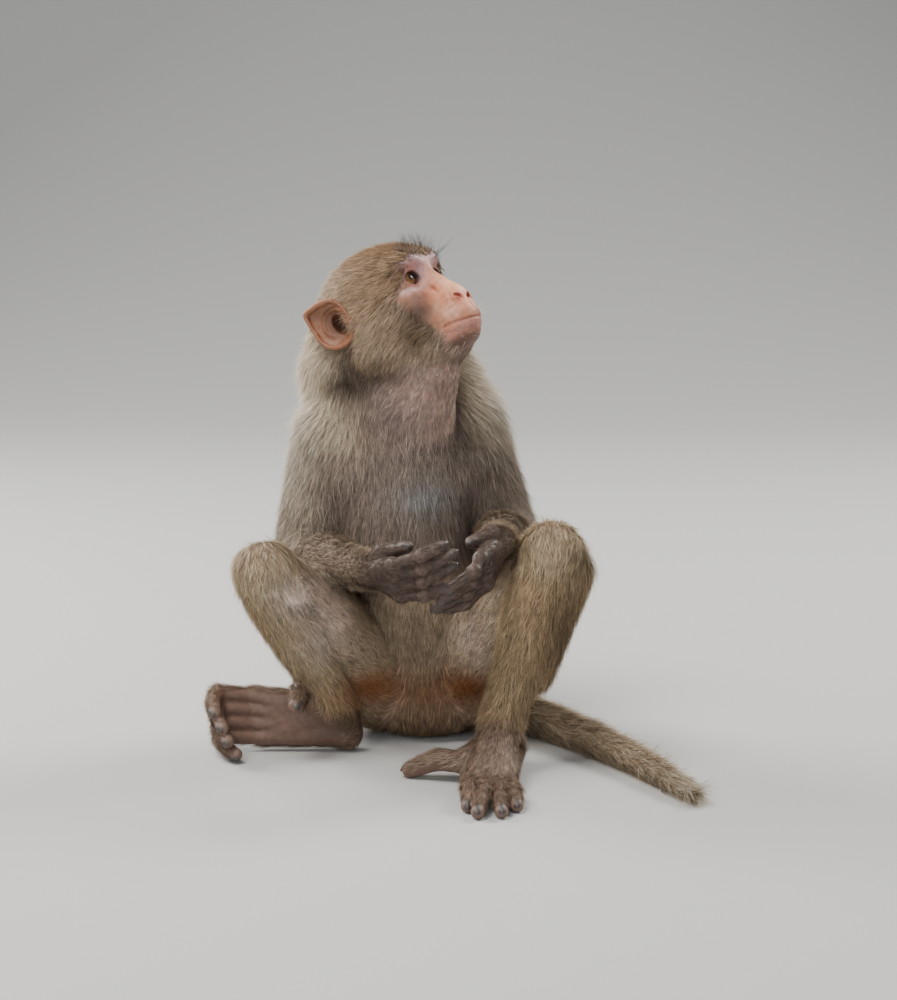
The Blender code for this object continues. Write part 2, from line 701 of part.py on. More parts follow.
def main():
    """Clears the scene, then builds the body's nodes, the ears and the eyes."""
    for spare in list(bpy.data.objects):
        bpy.data.objects.remove(spare)
    nodes = build_nodes()
    head = nodes["head"]
    skull = grown(head, CUT_GAP)
    for side, sign in (("left", 1), ("right", -1)):
        shell = mesh_object(f"ear_{side}", ear(sign))
        shell.data = main_body(boolean(shell, skull, "DIFFERENCE"))
        nodes[shell.name] = shell
        ball = mesh_object(f"eye_{side}", eye(sign))
        head.data = main_body(boolean(head, grown(ball, CUT_GAP), "DIFFERENCE"))
        nodes[ball.name] = ball

    for name, node in nodes.items():
        node.name = name
        node.hide_render = False
        node.display_type = "TEXTURED"
        if name.startswith("eye"):
            node.data.materials.append(finish(name, (0.09, 0.05, 0.02), 0.08))
            node.data.shade_smooth()
            continue
        bare = name.startswith(("ear", "hand", "foot"))
        colour = (0.55, 0.36, 0.29) if bare else (0.30, 0.23, 0.16)
        node.data.materials.clear()
        node.data.materials.append(finish(name, colour, 0.6 if bare else 0.85))
        node.data.shade_smooth()
        node.data.set_sharp_from_angle(angle=math.radians(50))


main()
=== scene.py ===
"""The looks of a life-size rhesus macaque, sitting with its hands cupped and its head turned and raised.

One skin, polygonised from a field of blended flesh forms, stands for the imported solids. Over it lies a
coat of joined ribbons in tufts that follow the lie of the fur. Eyes, lids' rims, nails, brow hairs and
whiskers are pieces of their own. Units are metres, +Z is up and the animal faces -Y.
"""

import json
import logging
import math
from dataclasses import dataclass, field
from enum import Enum

import bmesh
import bpy
import numpy as np
from mathutils import Matrix, Vector
from mathutils.bvhtree import BVHTree

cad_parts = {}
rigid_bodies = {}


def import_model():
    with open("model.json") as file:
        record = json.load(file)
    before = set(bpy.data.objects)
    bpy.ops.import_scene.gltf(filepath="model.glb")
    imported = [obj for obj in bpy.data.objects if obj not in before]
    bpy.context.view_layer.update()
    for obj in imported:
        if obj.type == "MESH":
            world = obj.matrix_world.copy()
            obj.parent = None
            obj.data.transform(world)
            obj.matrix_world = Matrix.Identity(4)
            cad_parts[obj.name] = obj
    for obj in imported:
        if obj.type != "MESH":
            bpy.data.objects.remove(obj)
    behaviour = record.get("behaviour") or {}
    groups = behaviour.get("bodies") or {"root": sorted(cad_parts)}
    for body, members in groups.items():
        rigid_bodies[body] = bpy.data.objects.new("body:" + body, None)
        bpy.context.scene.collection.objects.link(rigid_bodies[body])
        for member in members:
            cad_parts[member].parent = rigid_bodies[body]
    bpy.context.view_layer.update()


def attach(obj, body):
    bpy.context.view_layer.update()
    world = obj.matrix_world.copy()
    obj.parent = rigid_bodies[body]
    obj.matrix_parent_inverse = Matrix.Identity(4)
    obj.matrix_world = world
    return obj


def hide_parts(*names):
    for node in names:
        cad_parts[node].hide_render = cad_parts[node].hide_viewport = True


log = logging.getLogger("macaque")

Array = np.ndarray
Triple = tuple[float, float, float]
Mesh, Object = bpy.types.Mesh, bpy.types.Object
Material, Tree, Node = bpy.types.Material, bpy.types.NodeTree, bpy.types.Node


def vec(*values: float) -> Array:
    """These numbers as an array."""
    return np.array(values, float)


def span(rows: Array) -> Array:
    """The length of each row."""
    return np.linalg.norm(rows, axis=1)


def unit(vector: Array) -> Array:
    """The vector, or each row of vectors, scaled to length one."""
    return vector / np.maximum(np.linalg.norm(vector, axis=-1, keepdims=True), 1e-12)


def mix(a: Array, b: Array, share: Array) -> Array:
    """Blends rows of a into rows of b."""
    return a + (b - a) * np.asarray(share)[..., None]


def fade(value: Array, low: float, high: float) -> Array:
    """A smooth step from 0 at low to 1 at high."""
    share = np.clip((value - low) / (high - low), 0.0, 1.0)
    return share * share * (3 - 2 * share)


def in_scene(name: str, data: bpy.types.ID) -> Object:
    """A new object with this data, in the scene."""
    made = bpy.data.objects.new(name, data)
    bpy.context.scene.collection.objects.link(made)
    return made


def weld(mesh: Mesh, turn_out: bool = False) -> None:
    """Joins a mesh's doubled points, and turns its faces outwards where asked."""
    bm = bmesh.new()
    bm.from_mesh(mesh)
    bmesh.ops.remove_doubles(bm, verts=bm.verts, dist=1e-6)
    if turn_out:
        bmesh.ops.recalc_face_normals(bm, faces=bm.faces)
    bm.to_mesh(mesh)
    bm.free()


def ring_faces(first: int, rings: int, around: int) -> list[tuple[int, int, int, int]]:
    """Quads between rings of points that follow one another, the first ring's first being first."""
    faces = []
    for ring in range(rings - 1):
        here = first + ring * around
        for step in range(around):
            after = (step + 1) % around
            faces.append((here + step, here + around + step, here + around + after, here + after))
    return faces


def oval_gap(local: Array, radii: Array) -> Array:
    """How far outside an ellipsoid of these radii points are, given from its middle along its axes."""
    near = span(local / radii)
    slope = span(local / radii**2)
    return near * (near - 1.0) / np.maximum(slope, 1e-9)


def tube_gap(points: Array, start: Array, end: Array, radii: tuple[float, ...]) -> Array:
    """How far outside a tapered tube each point is, the radii being those of its two round ends."""
    bone, offset = end - start, points - start
    share = np.clip(offset @ bone / max(bone @ bone, 1e-12), 0.0, 1.0)
    gap = span(offset - share[:, None] * bone)
    return gap - (radii[0] + (radii[1] - radii[0]) * share)


# ---------------------------------------------------------------- regions of the coat
class Region(Enum):
    """Where on the animal a form lies; each has its own skin and fur."""

    CROWN = "crown"
    CHEEK = "cheek"
    FACE = "face"
    THROAT = "throat"
    EAR = "ear"
    NAPE = "nape"
    BACK = "back"
    CHEST = "chest"
    BELLY = "belly"
    SEAT = "seat"
    ARM = "arm"
    FOREARM = "forearm"
    HAND = "hand"
    THIGH = "thigh"
    SHANK = "shank"
    FOOT = "foot"
    TAIL = "tail"


@dataclass(frozen=True)
class Fur:
    """What the coat is like in one region.

    Lengths are in metres, lift is the angle in degrees that a hair leaves the skin at, dense the share of
    the full number of tufts, and width a ribbon's breadth in millimetres.
    """

    length: float
    lift: float
    dense: float
    width: float
    # root is partly the hairs' own darker base and partly painted shade deep in the coat
    root: Triple
    tip: Triple
    skin: Triple


FURS: dict[Region, Fur] = {
    Region.CROWN: Fur(0.012, 24, 1.0, 0.36, (0.105, 0.064, 0.038), (0.37, 0.25, 0.152), (0.16, 0.105, 0.068)),
    Region.CHEEK: Fur(0.0135, 24, 1.0, 0.34, (0.2, 0.145, 0.098), (0.44, 0.335, 0.225), (0.24, 0.175, 0.125)),
    Region.FACE: Fur(0.003, 18, 0.1, 0.22, (0.4, 0.28, 0.21), (0.5, 0.36, 0.27), (0.46, 0.178, 0.098)),
    Region.THROAT: Fur(0.008, 16, 0.36, 0.28, (0.36, 0.26, 0.21), (0.62, 0.49, 0.41), (0.56, 0.34, 0.285)),
    Region.EAR: Fur(0.004, 38, 0.12, 0.2, (0.4, 0.27, 0.19), (0.5, 0.35, 0.24), (0.23, 0.086, 0.039)),
    Region.NAPE: Fur(0.024, 44, 1.0, 0.38, (0.21, 0.155, 0.108), (0.66, 0.545, 0.4), (0.24, 0.18, 0.13)),
    Region.BACK: Fur(0.024, 28, 1.0, 0.4, (0.145, 0.103, 0.066), (0.5, 0.385, 0.245), (0.19, 0.14, 0.095)),
    # chest, belly and seat: their own colour, darkened further by painted shade where the arms and knees
    # shade them
    Region.CHEST: Fur(0.019, 20, 0.95, 0.34, (0.135, 0.1, 0.078), (0.345, 0.275, 0.225), (0.25, 0.19, 0.16)),
    Region.BELLY: Fur(0.017, 16, 0.85, 0.32, (0.19, 0.14, 0.1), (0.42, 0.325, 0.225), (0.3, 0.22, 0.165)),
    Region.SEAT: Fur(0.015, 18, 0.8, 0.32, (0.12, 0.08, 0.05), (0.29, 0.2, 0.125), (0.24, 0.155, 0.115)),
    Region.ARM: Fur(0.02, 28, 1.0, 0.36, (0.12, 0.088, 0.066), (0.37, 0.3, 0.235), (0.22, 0.165, 0.12)),
    Region.FOREARM: Fur(
        0.015, 22, 1.0, 0.34, (0.112, 0.08, 0.056), (0.39, 0.305, 0.225), (0.19, 0.135, 0.095)
    ),
    # the hand's skin: its own dark colour, darkened further by painted shade
    Region.HAND: Fur(0.006, 14, 0.9, 0.24, (0.085, 0.058, 0.043), (0.21, 0.155, 0.12), (0.07, 0.046, 0.039)),
    Region.THIGH: Fur(0.0145, 18, 1.0, 0.34, (0.24, 0.175, 0.12), (0.66, 0.515, 0.365), (0.4, 0.28, 0.22)),
    Region.SHANK: Fur(0.0155, 24, 1.0, 0.34, (0.15, 0.1, 0.062), (0.51, 0.375, 0.225), (0.21, 0.145, 0.095)),
    Region.FOOT: Fur(0.0095, 18, 1.0, 0.26, (0.12, 0.078, 0.055), (0.38, 0.28, 0.205), (0.135, 0.078, 0.056)),
    Region.TAIL: Fur(0.024, 24, 1.0, 0.34, (0.165, 0.115, 0.075), (0.68, 0.53, 0.37), (0.22, 0.15, 0.1)),
}
COLUMN = {region: number for number, region in enumerate(Region)}


# ---------------------------------------------------------------- the skeleton
@dataclass(frozen=True)
class Limb:
    """The joints of one arm or leg, from the body outwards."""

    root: Array
    bend: Array
    end: Array


@dataclass(frozen=True)
class Digits:
    """Four long digits: first and last knuckle, first and last bend, and each tip."""

    knuckles: tuple[Array, Array]
    bends: tuple[Array, Array]
    tips: tuple[Array, Array, Array, Array]

    def joints(self, number: int) -> list[Array]:
        """The knuckle, bend, last joint and tip of one digit, 0 the index and 3 the little one."""
        share = number / 3
        knuckle = self.knuckles[0] + (self.knuckles[1] - self.knuckles[0]) * share
        bend = self.bends[0] + (self.bends[1] - self.bends[0]) * share
        tip = self.tips[number]
        outward = bend - (knuckle + tip) / 2
        return [knuckle, bend, bend + (tip - bend) * 0.55 + outward * 0.16, tip]


@dataclass
class Pose:
    """The sitting pose: the head's place and turn, and every joint."""

    head_turn: float = math.radians(52)
    head_lift: float = math.radians(33)
    head: Array = field(default_factory=lambda: vec(-0.032, 0.0, 0.318))
    pelvis: Array = field(default_factory=lambda: vec(0.0, 0.012, 0.05))
    belly: Array = field(default_factory=lambda: vec(-0.005, 0.006, 0.108))
    chest: Array = field(default_factory=lambda: vec(-0.018, 0.012, 0.19))
    back: Array = field(default_factory=lambda: vec(-0.018, 0.037, 0.204))
    neck_base: Array = field(default_factory=lambda: vec(-0.026, 0.022, 0.246))
    neck_top: Array = field(default_factory=lambda: vec(-0.036, 0.012, 0.3))
    nape: Array = field(default_factory=lambda: vec(-0.047, 0.026, 0.288))
    tail_root: Array = field(default_factory=lambda: vec(0.01, 0.052, 0.036))
    tail_bend: Array = field(default_factory=lambda: vec(0.11, 0.015, 0.002))
    tail_tip: Array = field(default_factory=lambda: vec(0.192, -0.19, 0.006))

    def __post_init__(self) -> None:
        """Works out the head's own axes: forward, left and up."""
        turn, lift = self.head_turn, self.head_lift
        self.forward = vec(math.sin(turn) * math.cos(lift), -math.cos(turn) * math.cos(lift), math.sin(lift))
        self.left = vec(math.cos(turn), math.sin(turn), 0.0)
        self.up = np.cross(self.forward, self.left)
        self.axes = np.stack([self.forward, self.left, self.up])

    def in_head(self, forward: float, left: float, up: float) -> Array:
        """The world point this far forward, left and up from the middle of the head."""
        return self.head + self.forward * forward + self.left * left + self.up * up

    def head_local(self, points: Array) -> Array:
        """Points as forward, left and up from the middle of the head."""
        return (points - self.head) @ self.axes.T

    def tail_points(self, steps: int = 8) -> list[Array]:
        """Points along the tail, which bows out from the seat and lies on the floor."""
        points = []
        for step in range(steps + 1):
            share = step / steps
            near = self.tail_root + (self.tail_bend - self.tail_root) * share
            far = self.tail_bend + (self.tail_tip - self.tail_bend) * share
            point = near + (far - near) * share
            point[2] = max(point[2], 0.018 - 0.0108 * share)
            points.append(point)
        return points


POSE = Pose()
HEAD_REACH = 0.12  # how far the head and its fur reach from its middle
ARMS = {
    "right": Limb(vec(-0.069, 0.012, 0.232), vec(-0.093, 0.016, 0.139), vec(-0.037, -0.107, 0.152)),
    "left": Limb(vec(0.028, 0.032, 0.238), vec(0.062, 0.018, 0.154), vec(0.055, -0.105, 0.173)),
}
LEGS = {
    "right": Limb(vec(-0.04, 0.002, 0.046), vec(-0.12, -0.09, 0.149), vec(-0.067, -0.052, 0.032)),
    "left": Limb(vec(0.04, 0.002, 0.048), vec(0.096, -0.1, 0.165), vec(0.057, -0.116, 0.036)),
}
HANDS = {
    "right": Digits(
        (vec(-0.022, -0.149, 0.165), vec(-0.016, -0.138, 0.141)),
        (vec(-0.001, -0.169, 0.176), vec(0.001, -0.156, 0.145)),
        (
            vec(0.014, -0.166, 0.183),
            vec(0.021, -0.165, 0.177),
            vec(0.021, -0.162, 0.167),
            vec(0.013, -0.156, 0.15),
        ),
    ),
    "left": Digits(
        (vec(0.042, -0.149, 0.17), vec(0.046, -0.134, 0.149)),
        (vec(0.037, -0.16, 0.163), vec(0.03, -0.137, 0.134)),
        (
            vec(0.019, -0.158, 0.149),
            vec(0.013, -0.151, 0.139),
            vec(0.009, -0.142, 0.132),
            vec(0.009, -0.131, 0.129),
        ),
    ),
}
THUMBS = {
    "right": [vec(-0.03, -0.122, 0.17), vec(-0.012, -0.136, 0.176)],
    "left": [vec(0.05, -0.117, 0.182), vec(0.035, -0.132, 0.179)],
}
FEET = {
    "left": Digits(
        (vec(0.034, -0.178, 0.011), vec(0.062, -0.172, 0.0085)),
        (vec(0.033, -0.203, 0.012), vec(0.065, -0.198, 0.009)),
        (
            vec(0.032, -0.222, 0.005),
            vec(0.039, -0.238, 0.005),
            vec(0.056, -0.236, 0.005),
            vec(0.067, -0.221, 0.005),
        ),
    ),
    "right": Digits(
        (vec(-0.13, -0.05, 0.043), vec(-0.126, -0.052, 0.011)),
        (vec(-0.159, -0.058, 0.047), vec(-0.157, -0.064, 0.014)),
        (
            vec(-0.159, -0.084, 0.038),
            vec(-0.153, -0.091, 0.028),
            vec(-0.149, -0.093, 0.018),
            vec(-0.143, -0.09, 0.007),
        ),
    ),
}
HEELS = {"left": vec(0.064, -0.102, 0.0125), "right": vec(-0.06, -0.051, 0.014)}
HALLUXES = {
    "left": [vec(0.032, -0.141, 0.015), vec(0.01, -0.136, 0.015), vec(-0.01, -0.13, 0.006)],
    "right": [vec(-0.084, -0.056, 0.039), vec(-0.094, -0.07, 0.051), vec(-0.097, -0.093, 0.0455)],
}


@dataclass(frozen=True)
class EyeSize:
    """The eyeball, in the head's own axes."""

    radius: float = 0.0092
    forward: float = 0.0502
    side: float = 0.0152
    up: float = 0.0168

    def centre(self, side: int) -> Array:
        """The middle of the eyeball on the left (1) or right (-1)."""
        return POSE.in_head(self.forward, self.side * side, self.up)


EYE = EyeSize()


# ---------------------------------------------------------------- the field of forms
@dataclass(frozen=True)
class Form:
    """A tapered tube or an ellipsoid of flesh.

    A tube runs from start to end with a radius at each; an oval has start as its centre and radii along
    the rows of axes. lie is the way that its fur points.
    """

    region: Region
    start: Array
    end: Array
    radii: tuple[float, ...]
    lie: Array
    axes: Array | None = None

    def box(self) -> tuple[Array, Array]:
        """The lowest and highest corner that the form can reach."""
        reach = max(self.radii)
        return np.minimum(self.start, self.end) - reach, np.maximum(self.start, self.end) + reach

    def distance(self, points: Array) -> Array:
        """How far outside the form's surface each point is, negative inside."""
        if self.axes is not None:
            return oval_gap((points - self.start) @ self.axes.T, np.array(self.radii))
        return tube_gap(points, self.start, self.end, self.radii)


def tube(
    region: Region, start: Array, end: Array, first: float, last: float, lie: Array | None = None
) -> Form:
    """A tapered tube whose fur points along it, or along lie."""
    way = unit(end - start + 1e-9) if lie is None else unit(lie)
    return Form(region, start, end, (first, last), way)


def oval(region: Region, centre: Array, radii: tuple, lie: Array, axes: Array | None = None) -> Form:
    """An ellipsoid with its radii along X, Y and Z, or along the rows of axes."""
    return Form(region, centre, centre, radii, unit(lie), np.eye(3) if axes is None else axes)


def chain(region: Region, points: list[Array], first: float, last: float) -> list[Form]:
    """Tubes through the points, tapering evenly from the first radius to the last."""
    steps = len(points) - 1
    sizes = [first + (last - first) * step / steps for step in range(steps + 1)]
    return [tube(region, points[i], points[i + 1], sizes[i], sizes[i + 1]) for i in range(steps)]


@dataclass
class Group:
    """Forms that melt into each other, and how softly they and the whole group do so."""

    name: str
    forms: list[Form]
    inner: float
    outer: float


# how far from a form its field is worked out, how near the floor the skin comes, and half the thickness
# of an ear while the skin is still coarse
FAR, GROUND, COARSE_EAR = 0.05, 0.0004, 0.0019


def melt(a: Array, b: Array, soft: float) -> Array:
    """Joins two fields, rounding the crease between them over the distance soft."""
    overlap = np.maximum(soft - np.abs(a - b), 0.0)
    return np.minimum(a, b) - overlap * overlap / (4 * soft)


def carve(a: Array, b: Array, soft: float) -> Array:
    """Takes the field b away from a, rounding the edge over the distance soft."""
    overlap = np.maximum(soft - np.abs(a + b), 0.0)
    return np.maximum(a, -b) + overlap * overlap / (4 * soft)


class Body:
    """The forms of the whole animal, in groups."""

    def __init__(self) -> None:
        """Makes every group of forms."""
        self.creased = False
        self.groups = [self.trunk(), self.neck(), self.head(), self.tail()]
        for side in ("left", "right"):
            self.groups += [self.arm(side), self.hand(side), self.leg(side), self.foot(side)]
        self.forms = [form for group in self.groups for form in group.forms]
        log.info("body: %d forms in %d groups", len(self.forms), len(self.groups))

    @staticmethod
    def trunk() -> Group:
        """Seat, pelvis, belly, rib cage, the arch of the back and the shoulder muscle."""
        p, down = POSE, vec(0, 0, -1)
        rear = vec(0, 0.35, -1)
        loin = p.belly + vec(0, 0.031, 0.02)
        right, left = ARMS["right"].root, ARMS["left"].root
        return Group(
            "trunk",
            [
                oval(Region.SEAT, vec(0.0, 0.006, 0.0245), (0.05, 0.04, 0.0236), vec(0, -0.3, -1)),
                oval(Region.SEAT, p.pelvis, (0.054, 0.044, 0.044), down),
                oval(Region.BELLY, p.belly, (0.05, 0.048, 0.062), down),
                oval(Region.CHEST, p.chest, (0.052, 0.05, 0.066), down),
                tube(Region.BACK, p.pelvis + vec(0, 0.014, 0.018), loin, 0.034, 0.038, rear),
                tube(Region.BACK, loin, p.back, 0.038, 0.036, rear),
                tube(Region.BACK, p.back, p.neck_base, 0.036, 0.036, rear),
                tube(Region.ARM, right, left, 0.024, 0.024, down),
                tube(Region.CHEST, vec(-0.046, 0.004, 0.212), vec(0.016, 0.016, 0.212), 0.034, 0.034, down),
                tube(Region.CHEST, vec(-0.014, 0.0, 0.246), vec(-0.014, 0.004, 0.16), 0.034, 0.046, down),
            ],
            0.01,
            0.012,
        )

    @staticmethod
    def neck() -> Group:
        """The thick neck, with the mane over the nape and the shoulders."""
        p = POSE
        right, left = ARMS["right"].root, ARMS["left"].root
        down = vec(-0.1, 0.15, -1)
        return Group(
            "neck",
            [
                tube(Region.CHEST, p.neck_base, p.neck_top, 0.042, 0.036, vec(0, -0.1, -1)),
                tube(Region.NAPE, p.neck_base, p.nape, 0.045, 0.041, down),
                tube(Region.NAPE, left, vec(0.004, 0.042, 0.28), 0.026, 0.026, vec(0.6, 0.2, -1)),
                tube(
                    Region.NAPE, right, p.neck_top * 0.7 + p.neck_base * 0.3, 0.022, 0.034, vec(-0.4, 0.1, -1)
                ),
                tube(Region.THROAT, p.in_head(0.045, 0, -0.038), vec(-0.006, -0.01, 0.256), 0.015, 0.027),
                tube(Region.THROAT, p.in_head(0.03, -0.008, -0.03), vec(-0.026, -0.006, 0.272), 0.017, 0.02),
                tube(Region.CHEST, vec(-0.026, -0.006, 0.272), vec(-0.024, -0.004, 0.24), 0.02, 0.024),
                tube(Region.THROAT, p.in_head(0.026, 0.012, -0.03), vec(-0.004, 0.008, 0.27), 0.017, 0.02),
            ],
            0.01,
            0.012,
        )

    @staticmethod
    def head() -> Group:
        """Brain case, brow, muzzle, jaws and cheeks."""
        at, back = POSE.in_head, -POSE.forward
        brow_end, brow_side = vec(0.06, 0.0115, 0.029), vec(0.052, 0.023, 0.0265)
        forms = [
            oval(Region.CROWN, at(0.008, 0, 0.02), (0.0545, 0.037, 0.0405), back, POSE.axes),
            oval(Region.CROWN, at(0.036, 0, 0.023), (0.028, 0.03, 0.027), back, POSE.axes),
            oval(Region.NAPE, at(-0.022, 0, 0.012), (0.026, 0.0325, 0.035), vec(-0.3, 0.3, -1.0), POSE.axes),
            tube(Region.FACE, at(*brow_end), at(*(brow_end * vec(1, -1, 1))), 0.006, 0.006, back),
            tube(Region.FACE, at(0.059, 0, 0.022), at(0.0765, 0, -0.006), 0.0058, 0.006, back),
            tube(Region.FACE, at(0.04, 0, -0.012), at(0.072, 0, -0.026), 0.024, 0.0155, back),
            tube(Region.FACE, at(0.0765, 0.003, -0.0115), at(0.0765, -0.003, -0.0115), 0.0076, 0.0076, back),
            oval(Region.FACE, at(0.0692, 0, -0.0262), (0.0144, 0.0172, 0.0105), back, POSE.axes),
            oval(Region.FACE, at(0.0662, 0, -0.0398), (0.0146, 0.0135, 0.0088), back, POSE.axes),
        ]
        for side in (1, -1):
            sweep = back * 0.9 - POSE.up * 0.55 + POSE.left * side * 0.25
            for region, start, end, first, last, lie in (
                (Region.FACE, brow_end, brow_side, 0.006, 0.0058, back),
                (Region.CHEEK, vec(0.008, 0.02, -0.014), vec(0.058, 0.007, -0.036), 0.018, 0.01, sweep),
                (Region.CHEEK, vec(0.01, 0.018, 0.002), vec(0.05, 0.0135, -0.008), 0.022, 0.0135, sweep),
                (Region.FACE, vec(0.03, 0.024, 0.012), vec(0.0525, 0.019, 0.003), 0.01, 0.0075, sweep),
            ):
                ends = [at(*(place * vec(1, side, 1))) for place in (start, end)]
                forms.append(tube(region, *ends, first, last, lie))
        return Group("head", forms, 0.007, 0.012)

    @staticmethod
    def tail() -> Group:
        """The tail, laid on the floor."""
        points = POSE.tail_points()
        forms = chain(Region.TAIL, points[:6], 0.012, 0.0085) + chain(Region.TAIL, points[5:], 0.0085, 0.0034)
        return Group("tail", forms, 0.004, 0.012)

    @staticmethod
    def arm(side: str) -> Group:
        """Upper arm and forearm."""
        arm = ARMS[side]
        root, elbow, wrist = arm.root, arm.bend, arm.end
        return Group(
            "arm_" + side,
            [
                tube(Region.ARM, root, elbow, 0.027, 0.02),
                tube(Region.ARM, root * 0.75 + elbow * 0.25, elbow * 0.8 + root * 0.2, 0.028, 0.023),
                tube(Region.FOREARM, elbow, elbow * 0.7 + wrist * 0.3, 0.0195, 0.0185),
                tube(Region.FOREARM, elbow, wrist, 0.0185, 0.0112),
                tube(Region.FOREARM, elbow, elbow * 0.55 + wrist * 0.45, 0.02, 0.0175),
            ],
            0.006,
            0.012,
        )

    @staticmethod
    def hand(side: str) -> Group:
        """Palm, four fingers and thumb."""
        wrist, hand = ARMS[side].end, HANDS[side]
        forms = []
        for number in range(4):
            points = hand.joints(number)
            forms.append(tube(Region.HAND, wrist * 0.88 + points[0] * 0.12, points[0], 0.0092, 0.0058))
            forms += chain(Region.HAND, points, 0.0047, 0.0039)
            forms.append(oval(Region.HAND, points[0], (0.006,) * 3, points[1] - points[0]))
            forms.append(oval(Region.HAND, points[1], (0.0051,) * 3, points[2] - points[1]))
        thumb = THUMBS[side]
        forms.append(tube(Region.HAND, wrist, thumb[0], 0.0105, 0.007))
        forms += chain(Region.HAND, thumb, 0.0058, 0.0047)
        return Group("hand_" + side, forms, 0.0022, 0.006)

    @staticmethod
    def leg(side: str) -> Group:
        """Thigh and shank."""
        leg = LEGS[side]
        hip, knee, ankle = leg.root, leg.bend, leg.end
        calf = vec(0.018, 0.015, 0.0) if side == "left" else vec(0.003, 0.007, 0.0)
        upper_calf = knee * 0.88 + ankle * 0.12 + calf * 0.8
        lower_calf = knee * 0.3 + ankle * 0.7 + calf * 0.7
        return Group(
            "leg_" + side,
            [
                tube(Region.THIGH, hip, knee, 0.038, 0.0205),
                tube(Region.THIGH, hip + vec(0, 0.006, 0.002), (hip + knee) / 2, 0.039, 0.031),
                tube(Region.SHANK, knee, knee * 0.7 + ankle * 0.3, 0.02, 0.0205),
                tube(Region.SHANK, knee, ankle, 0.0195, 0.0135),
                tube(Region.SHANK, knee * 0.86 + ankle * 0.14, (knee + ankle) / 2, 0.0225, 0.0185),
                tube(Region.SHANK, upper_calf, lower_calf, 0.02, 0.0145),
            ],
            0.005,
            0.012,
        )

    @staticmethod
    def foot(side: str) -> Group:
        """Heel, sole, four toes and the thumb-like great toe."""
        ankle, heel, foot = LEGS[side].end, HEELS[side], FEET[side]
        forms = []
        for number in range(4):
            points = foot.joints(number)
            forms.append(tube(Region.FOOT, heel, points[0], 0.0112, 0.0068))
            forms.append(tube(Region.FOOT, ankle, points[0], 0.0118, 0.0066))
            forms += chain(Region.FOOT, points, 0.0056, 0.0049)
            forms.append(oval(Region.FOOT, points[1], (0.006,) * 3, points[2] - points[1]))
        great = HALLUXES[side]
        forms.append(tube(Region.FOOT, ankle, heel, 0.0128, 0.0116))
        forms.append(tube(Region.FOOT, ankle * 0.6 + heel * 0.4, great[0], 0.0118, 0.0098))
        forms += chain(Region.FOOT, great, 0.0088, 0.0062)
        return Group("foot_" + side, forms, 0.0022, 0.008)

    def distance(self, points: Array) -> Array:
        """The field of the whole body at the points, with its finest creases where creased is set.

        Args:
            points: one point to a row.

        Returns:
            Distances outside the skin, negative inside.
        """
        whole = np.full(len(points), FAR)
        for group in self.groups:
            part = self.group_distance(group, points)
            near = part < FAR * 0.99
            if near.any():
                whole[near] = melt(whole[near], part[near], group.outer)
        for side in (1, -1):
            ear = Ear(side) if self.creased else Ear(side, COARSE_EAR)
            whole = ear.add(whole, points)
        whole = Face(self.creased).cut(whole, points)
        return np.maximum(whole, GROUND - points[:, 2])

    def group_distance(self, group: Group, points: Array) -> Array:
        """The field of one group alone, FAR where nothing of it is near."""
        part = np.full(len(points), FAR)
        for form in group.forms:
            low, high = form.box()
            reach = 0.02
            close = np.all((points > low - reach) & (points < high + reach), axis=1)
            if close.any():
                part[close] = melt(part[close], form.distance(points[close]), group.inner)
        return part


